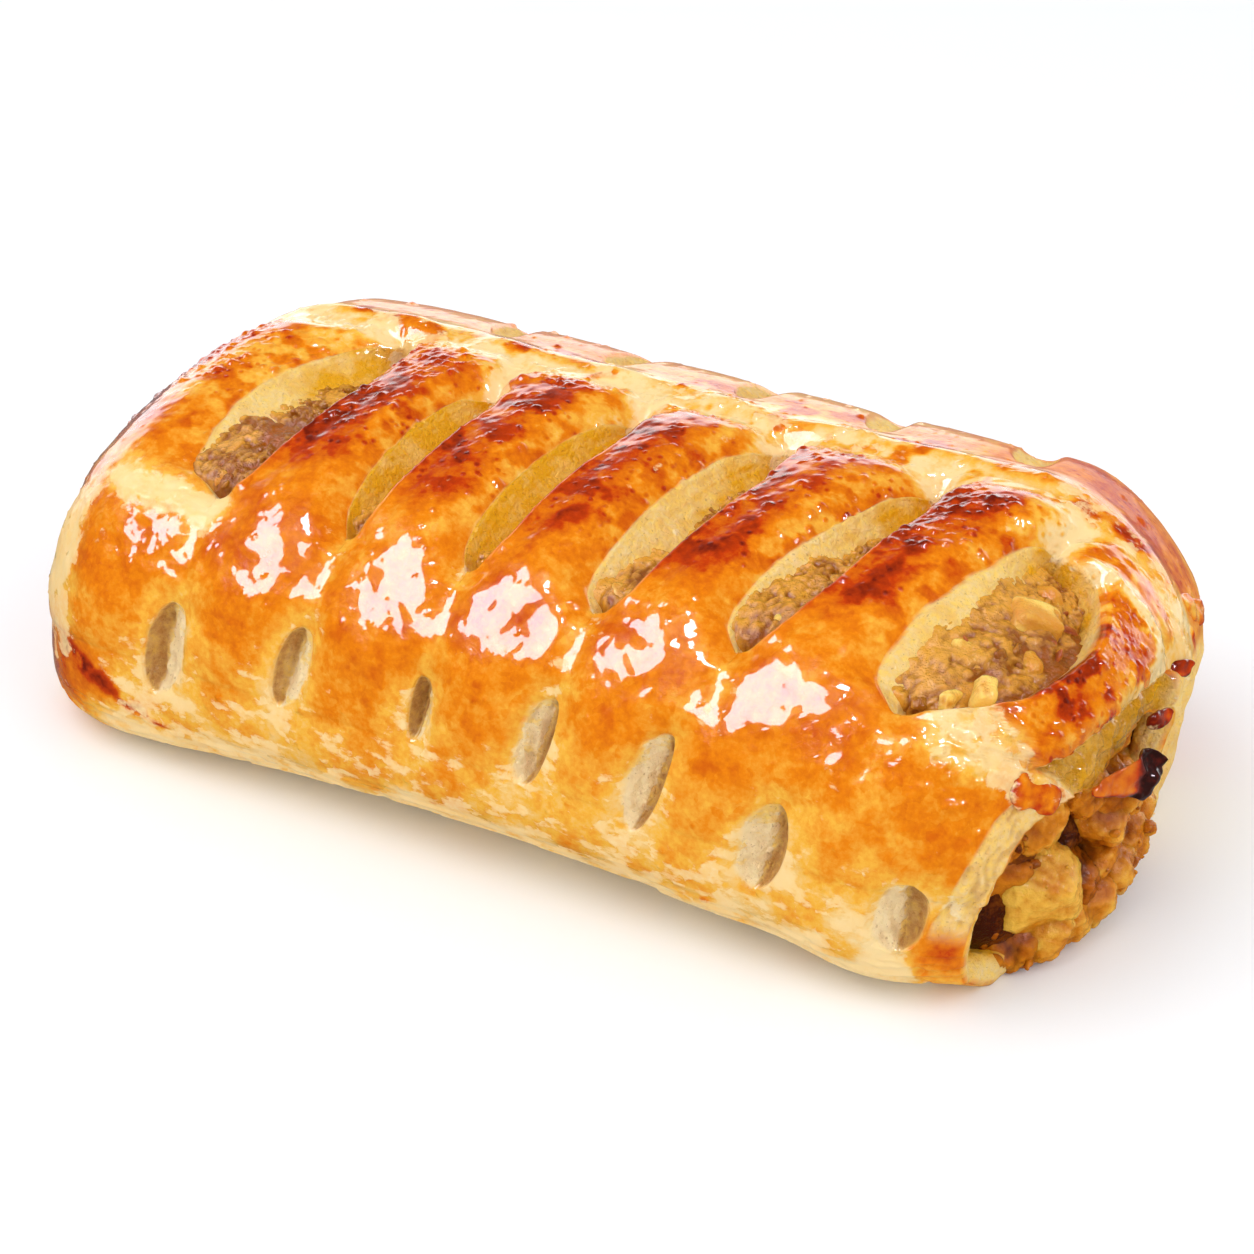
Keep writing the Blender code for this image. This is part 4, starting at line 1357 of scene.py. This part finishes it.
def syrup_and_shade_depth(points):
    """How much darker the heap is where it lies back from its outer face: syrup there, and painted shade."""
    x, y, z = points.T / MM
    face = np.interp(y, (-27, -24, -19, -14, -8, -2, 6), (72.5, 75, 79, 80.6, 81.6, 81.2, 80))
    face = face - 0.17 * np.clip(z - 9, 0, None)
    return 0.85 * smooth(face - x, 2.6, 6.5)


def merge(points, centres, radii, each, reach):
    """Moves the skins of round lumps outward where others lie close, as if syrup filled their
    creases, by the reach times log(1 + the sum over the others of exp(-distance / reach)). Returns
    the points and how full the crease is at each, from 0 to 1."""
    own = np.repeat(centres, each, axis=0)
    gap = np.linalg.norm(points[:, None] - centres, axis=2) - radii
    gap[np.arange(len(points)), np.arange(len(points)) // each] = 1.0
    full = np.log1p(np.exp(-np.clip(gap, -0.9 * MM, 1.0) / reach).sum(1))
    return points + unit(points - own) * (reach * full)[:, None], np.clip(full - 0.15, 0, 1)


def heap_parts():
    """Diced apple in the mouth, with crumbs of it between the dice."""
    rows = np.array(HEAP)
    middles, halves, tones = rows[:, :3] * MM, rows[:, 3:6] * HEAP_SHRINK * MM, rows[:, 6] + HEAP_TONE
    points, faces, hollow = lumps(middles, halves, 101, *HEAP_GRID, 0.68, 0.26, 0.05 * MM)
    each = HEAP_GRID[0] * HEAP_GRID[1]
    points, filled = merge(points, middles, halves.mean(1), each, 1.25 * MM)
    out = unit(points - np.repeat(middles, each, axis=0))
    pulp = clouds(points, 2.4, 2, 141)
    grit = cobble_solid(points, 1.1, 143)
    points = points + out * (0.34 * MM * pulp + 0.30 * MM * grit)[:, None]
    points[:, 2] = np.maximum(points[:, 2], 0.3 * MM)
    # The heap is darker in its filled creases and deep behind its face, for syrup and painted shade, and
    # paler where its skins bulge out and darker where they sink, which is painted shade too.
    tone = np.repeat(tones, each) + syrup_and_shade_depth(points) + 0.30 * filled
    tone = tone - 0.20 * hollow - 0.16 * pulp - 0.14 * grit
    parts = [(points, faces, {"tone": tone})]
    grid = points.reshape(len(rows), each, 3)
    picks = random_rows(HEAP_CRUMBS, 4, 131)
    which = (picks[:, 0] * len(rows)).astype(int)
    at = (picks[:, 1] * each).astype(int)
    centres = grid[which, at]
    keep = (centres[:, 0] > middles[which, 0] - 0.5 * MM) & (centres[:, 2] > 0.8 * MM)
    which, centres, picks = which[keep], centres[keep], picks[keep]
    halves = (0.22 + 0.80 * picks[:, 2:3] ** 5) * MM * (0.7 + 0.6 * random_rows(len(centres), 3, 132))
    points, faces, hollow = lumps(centres, halves, 133, *CRUMB_GRID, 0.85, 0.35, 0.06 * MM)
    points[:, 2] = np.maximum(points[:, 2], 0.2 * MM)
    own = tones[which] + 0.35 * (picks[:, 3] - 0.35)
    # Crumbs are darker deep in the heap, for syrup and painted shade, and paler where they bulge.
    tone = np.repeat(own, CRUMB_POINTS) - 0.15 * hollow + syrup_and_shade_depth(points)
    parts.append((points, faces, {"tone": tone}))
    return parts


def flake(path, across, half_wide, half_thick, seed, rows=60, columns=48, curl=0.0, rough=0.3, spread=0.0):
    """A flake of crust: a flat oval section carried along a path of points, in mm. Its width falls
    to both ends, its free edge curls by the square of the distance along, and noise roughens it."""
    path = np.array(path, float) * MM
    t = np.linspace(0, 1, rows)
    knots = np.linspace(0, 1, len(path))
    centre = np.stack([np.interp(t, knots, path[:, i]) for i in range(3)], -1)
    for _ in range(12):
        centre[1:-1] = (centre[:-2] + centre[1:-1] * 2 + centre[2:]) / 4
    along = unit(np.gradient(centre, axis=0))
    side = np.array(across, float)
    side = unit(side - along * (along @ side)[:, None])
    out = np.cross(along, side)
    around = np.arange(columns) * 2 * math.pi / columns
    c, n = np.cos(around), np.sin(around)
    wide = half_wide * MM * np.clip(1 - (2 * t - 1) ** 6, 0, 1) ** 0.5
    wide = wide * (1 + 0.22 * noise(centre, 2.2, seed)) * (1 - spread + spread * smooth(t, 0, 0.85))
    wide, thick = wide[:, None], half_thick * MM * np.clip(1 - (2 * t - 1) ** 8, 0, 1)[:, None] ** 0.5
    v = np.sign(c) * np.abs(c) ** 0.8
    u = np.sign(n) * np.abs(n) ** 0.8
    lift = curl * MM * v**2 * np.sign(v) * t[:, None] ** 1.5
    points = centre[:, None] + side[:, None] * (wide * v)[..., None]
    points = points + out[:, None] * (thick * u + lift)[..., None]
    fine = noise(points, 2.0, seed + 1) + 0.5 * noise(points, 0.9, seed + 2)
    points = points + out[:, None] * (rough * MM * fine)[..., None]
    index = np.arange(rows * columns).reshape(rows, columns)
    index[0], index[-1] = index[0, 0], index[-1, 0]
    points[0], points[-1] = points[0].mean(0), points[-1].mean(0)
    faces = index.ravel()[grid_faces(rows, columns, False, True)]
    place = np.broadcast_to(t[:, None], (rows, columns))
    return points.reshape(-1, 3), faces, place.ravel(), np.broadcast_to(v, (rows, columns)).ravel()


def crust_fields(baked, glaze=1.0, bubble=0.5, pale=0.0):
    """The pastry's fields for a loose flake."""
    one = np.ones_like(baked)
    given = {"glaze": glaze, "bubble": bubble, "flake": pale, "dough": 0, "wet": 0, "shade": 0}
    return {"bake": np.clip(baked, 0, 1), **{key: value * one for key, value in given.items()}}


# Operators -------------------------------------------------------------------------------------


class STRUDEL_OT_crust(bpy.types.Operator):
    """Build the pastry crust in closed slices that meet in the slits"""

    bl_idname = "strudel.crust"
    bl_label = "Crust"

    def execute(self, context):
        for made in crust_slices(Crust(), pastry()):
            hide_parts("pastry_crust")
        return {"FINISHED"}


class STRUDEL_OT_mash(bpy.types.Operator):
    """Fill the slits with apple mash, and lay a few dice and bits of peel on it"""

    bl_idname = "strudel.mash"
    bl_label = "Mash in the slits"

    def execute(self, context):
        loaf, parts = Loaf(), []
        for number, bed in enumerate(MASH_BEDS):
            parts += mash_bed(loaf, *bed, 200 + 20 * number)
        points, faces, fields = joined(parts)
        paste = fruit("apple_mash", (0.0, 0.5, 1.0), ("mash", "mash_dark", "stewed"), 0.12)
        mash = piece("slit_mash", points, faces, paste, fields)
        diced = fruit("slit_apple", (0.0, 0.18, 0.55, 1.0), ("dough", "mash", "apple", "stewed"))
        dice = piece_on_loaf("slit_dice", loaf, SLIT_PIECES, diced, 0.55)
        skin = fruit("peel", (0.0, 0.5, 1.0), ("apple", "peel", "burnt"))
        peel = piece_on_loaf("slit_peel", loaf, [(*row, 0.5) for row in PEEL], skin, 0.7)
        for made in (mash, dice, peel):
            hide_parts("apple_filling")
        return {"FINISHED"}


DICE_GRID = (36, 48)  # rows and columns of the skin of a dice in a slit


def piece_on_loaf(name, loaf, rows, material, square):
    """Lumps that lie at given angles, places along and depths of the loaf, as one piece."""
    angle = np.radians([row[0] for row in rows])
    s = np.array([row[1] for row in rows]) * MM
    depth = np.array([row[2] for row in rows])[:, None] * MM
    centres = loaf.point(s, angle) - loaf.normal(s, angle) * depth
    halves = np.array([row[3] for row in rows]) * MM
    points, faces, hollow = lumps(centres, halves, 301, *DICE_GRID, square, 0.12, 0.10 * MM)
    tone = np.repeat([row[4] for row in rows], DICE_GRID[0] * DICE_GRID[1]) - 0.2 * hollow
    return piece(name, points, faces, material, {"tone": tone})


class STRUDEL_OT_heap(bpy.types.Operator):
    """Heap diced apple in the open end, over a syrupy core"""

    bl_idname = "strudel.heap"
    bl_label = "Heap of apple"

    def execute(self, context):
        shades = ("flesh", "apple", "stewed", "syrup")
        apple = fruit("stewed_apple", (0.0, 0.40, 0.68, 1.0), shades)
        points, faces, fields = core_block()
        core = piece("heap_core", points, faces, apple, fields)
        points, faces, fields = joined(heap_parts())
        dice = piece("heap_dice", points, faces, apple, fields)
        for made in (core, dice):
            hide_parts("apple_filling")
        return {"FINISHED"}


class STRUDEL_OT_flakes(bpy.types.Operator):
    """Add the scorched curl over the mouth and the toasted flakes round it"""

    bl_idname = "strudel.flakes"
    bl_label = "Curl and flakes"

    def execute(self, context):
        material = pastry()
        path = ((79.4, -17.2, 25.0), (81.2, -13.6, 24.6), (83.1, -9.8, 24.2), (85.0, -5.8, 23.8))
        side = (0.35, -0.28, -0.89)
        points, faces, along, across = flake(path, side, 3.1, 0.62, 401, curl=1.6, rough=0.6, spread=0.72)
        dark = 0.55 + 0.47 * smooth(along, 0.52, 0.74) + 0.30 * smooth(across, 0.6, 1.0)
        dark = dark + 0.12 * noise(points, 1.5, 402)
        curl = piece("scorched_curl_glazed", points, faces, scorched(), crust_fields(dark))
        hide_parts("scorched_curl")
        parts = []
        for path, wide, thick, baked, seed, side in FLAKES:
            points, faces, along, across = flake(path, side, wide, thick, seed, 40, 36, 0.4, 0.34)
            value = baked + 0.30 * np.abs(2 * along - 1) ** 3 + 0.15 * across**2
            value = value + 0.24 * noise(points, 1.2, seed + 3)
            parts.append((points, faces.reshape(-1, 4), crust_fields(value, 0.9, 0.5, 0.22)))
        points, faces, fields = joined(parts)
        flakes = piece("toasted_flakes", points, faces, material, fields)
        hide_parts("pastry_crust")
        return {"FINISHED"}


# Toasted flakes: (path, half width, half thickness, bake, seed, side direction). They are a tab and
# a tongue on the rim, and two chips.
FLAKES = (
    (
        ((73.4, -29.9, 31.6), (75.8, -27.6, 30.2), (78.2, -25.2, 28.0)),
        2.0, 0.8, 0.44, 411, (0.25, -0.5, -0.83),
    ),
    (((78.0, 14.4, 34.2), (79.2, 18.2, 33.0), (80.2, 22.4, 29.8)), 1.8, 0.6, 0.36, 421, (0.5, -0.3, -0.8)),
    (((81.2, 6.2, 30.4), (82.2, 8.0, 30.2), (82.8, 9.6, 29.4)), 1.1, 0.5, 0.74, 431, (0.2, -0.2, -0.9)),
    (((82.0, -4.4, 28.8), (83.0, -2.2, 28.6), (83.4, 0.0, 27.8)), 1.2, 0.5, 0.86, 441, (0.2, -0.2, -0.9)),
)


class STRUDEL_OT_stage(bpy.types.Operator):
    """Lay the floor, hang the lights and set up the camera"""

    bl_idname = "strudel.stage"
    bl_label = "Stage"

    def execute(self, context):
        stage = context.scene.strudel_stage
        floor_plane()
        room(stage)
        softbox(stage)
        camera(stage)
        context.scene.view_settings.view_transform = "Standard"
        return {"FINISHED"}


# A little light of the floor's own stands for the bounce of a wide white table.
FLOOR_GLOW = {"Emission_Color": (1, 1, 1, 1), "Emission_Strength": 0.03}


def floor_plane():
    """A wide pale floor at the height that the part rests on."""
    half = 3.0
    corners = np.array(((-half, -half, 0), (half, -half, 0), (half, half, 0), (-half, half, 0)))
    mesh = bpy.data.meshes.new("floor")
    fill_mesh(mesh, corners, np.arange(4))
    paint = Paint("pale_floor")
    colour = (0.90, 0.92, 0.95, 1)
    mesh.materials.append(
        paint.finish(Base_Color=colour, Roughness=0.6, Specular_IOR_Level=0.2, **FLOOR_GLOW)
    )
    floor = bpy.data.objects.new("floor", mesh)
    bpy.context.scene.collection.objects.link(floor)
    floor.visible_glossy = False
    floor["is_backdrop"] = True


def room(stage):
    """A bright room for matt surfaces. In reflections it is dim, but for a bright backdrop that
    stands low behind the part, and the pale table in front of it."""
    world = bpy.data.worlds.new("studio")
    bpy.context.scene.world = world
    paint = Paint(world)
    place = paint.add("ShaderNodeTexCoord", output="Generated")
    axes = paint.add("ShaderNodeSeparateXYZ", {}, {0: place}).socket.node.outputs
    x, y, z = (Value(paint, axis) for axis in axes)
    low = paint.ease(z, -0.20, -0.11) * paint.ease(z, 0.42, 0.24)
    behind = paint.ease(y, 0.10, 0.35) * paint.ease(x, 0.75, 0.40)
    table = paint.ease(z, 0.02, -0.10) * paint.ease(y, 0.10, 0.35) * 0.12
    seen = low * behind * stage.backdrop + table + 0.03
    glossy = paint.add("ShaderNodeLightPath", output="Is Glossy Ray")
    strength = paint.add("ShaderNodeMix", {}, {0: glossy, 2: stage.ambient, 3: seen})
    background = world.node_tree.nodes["Background"]
    paint.set(background, {"Color": (1, 1, 1, 1), "Strength": strength})


def direction(azimuth, elevation):
    """The unit vector at an azimuth, from the front to the right, and an elevation, in degrees."""
    turn, rise = math.radians(azimuth), math.radians(elevation)
    flat = math.cos(rise)
    return Vector((math.sin(turn) * flat, -math.cos(turn) * flat, math.sin(rise)))


def aim(made, place, target):
    """Puts an object at a place and turns its -Z axis to a target."""
    made.location = place
    made.rotation_euler = (Vector(target) - Vector(place)).to_track_quat("-Z", "Y").to_euler()


def softbox(stage):
    """A softbox up in front, on the side of the closed end, seen only in reflections, and a higher
    lamp and a fill for matt surfaces. Two small bright lamps give the glaze its glints."""
    centre = Vector((0.01, 0, 0.03))
    for name, azimuth, elevation, wide, tall, radiance, glossy in (
        ("key_light", -40, 60, 0.80, 0.80, stage.key, False),
        ("fill_light", 76, 42, 0.80, 0.80, stage.fill, False),
        ("softbox", -44, 47, 0.84, 0.50, stage.softbox, True),
        ("glint_right", 66, 44, 0.18, 0.18, stage.glints, True),
        ("glint_top", 8, 76, 0.18, 0.18, stage.glints, True),
    ):
        light = bpy.data.lights.new(name, "AREA")
        light.shape = "RECTANGLE"
        light.size, light.size_y = wide, tall
        light.energy = radiance * math.pi * wide * tall
        made = bpy.data.objects.new(name, light)
        bpy.context.scene.collection.objects.link(made)
        aim(made, centre + direction(azimuth, elevation) * 1.1, centre)
        light.cycles.use_multiple_importance_sampling = glossy
        light.color = (1.0, 0.86, 0.98) if glossy else (1, 1, 1)
        made.visible_glossy = glossy
        made.visible_diffuse = not glossy


def camera(stage):
    """The camera, aimed slightly beside the middle of the part."""
    azimuth = math.radians(stage.azimuth)
    right = Vector((math.cos(azimuth), math.sin(azimuth), 0))
    back = direction(stage.azimuth, stage.elevation)
    target = right * 4.17 * MM + Vector((0, 0, 16.2 * MM))
    lens = bpy.data.cameras.new("camera")
    lens.lens = stage.focal
    lens.sensor_width = 36
    lens.clip_start = 0.01
    made = bpy.data.objects.new("camera", lens)
    bpy.context.scene.collection.objects.link(made)
    aim(made, target + back * stage.distance, target)
    bpy.context.scene.camera = made


class STRUDEL_PT_panel(bpy.types.Panel):
    """Buttons for every part of the strudel"""

    bl_label = "Apple strudel"
    bl_idname = "STRUDEL_PT_panel"
    bl_space_type = "VIEW_3D"
    bl_region_type = "UI"
    bl_category = "Strudel"

    def draw(self, context):
        for made in OPERATORS:
            self.layout.operator(made.bl_idname)
        for group in (context.scene.strudel_shape, context.scene.strudel_bake, context.scene.strudel_stage):
            box = self.layout.box()
            for key in group.__annotations__:
                box.prop(group, key)


OPERATORS = (STRUDEL_OT_crust, STRUDEL_OT_mash, STRUDEL_OT_heap, STRUDEL_OT_flakes, STRUDEL_OT_stage)
GROUPS = {"strudel_shape": StrudelShape, "strudel_bake": StrudelBake, "strudel_stage": StrudelStage}


def register():
    """Adds the settings, the operators and the panel."""
    for made in (*GROUPS.values(), *OPERATORS, STRUDEL_PT_panel):
        bpy.utils.register_class(made)
    for key, group in GROUPS.items():
        setattr(bpy.types.Scene, key, PointerProperty(type=group))


def unregister():
    """Takes them away again."""
    for key in GROUPS:
        delattr(bpy.types.Scene, key)
    for made in (STRUDEL_PT_panel, *reversed(OPERATORS), *reversed(GROUPS.values())):
        bpy.utils.unregister_class(made)


def main():
    """Builds the scene, and works out the boxes of the solids and of the looks."""
    register()
    for made in OPERATORS:
        group, name = made.bl_idname.split(".")
        getattr(getattr(bpy.ops, group), name)()
    boxes = {"cad": CAD_BOX, "visual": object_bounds()}
    plain = {key: [[float(v) for v in corner] for corner in box] for key, box in boxes.items()}


if __name__ == "__main__":
    main()
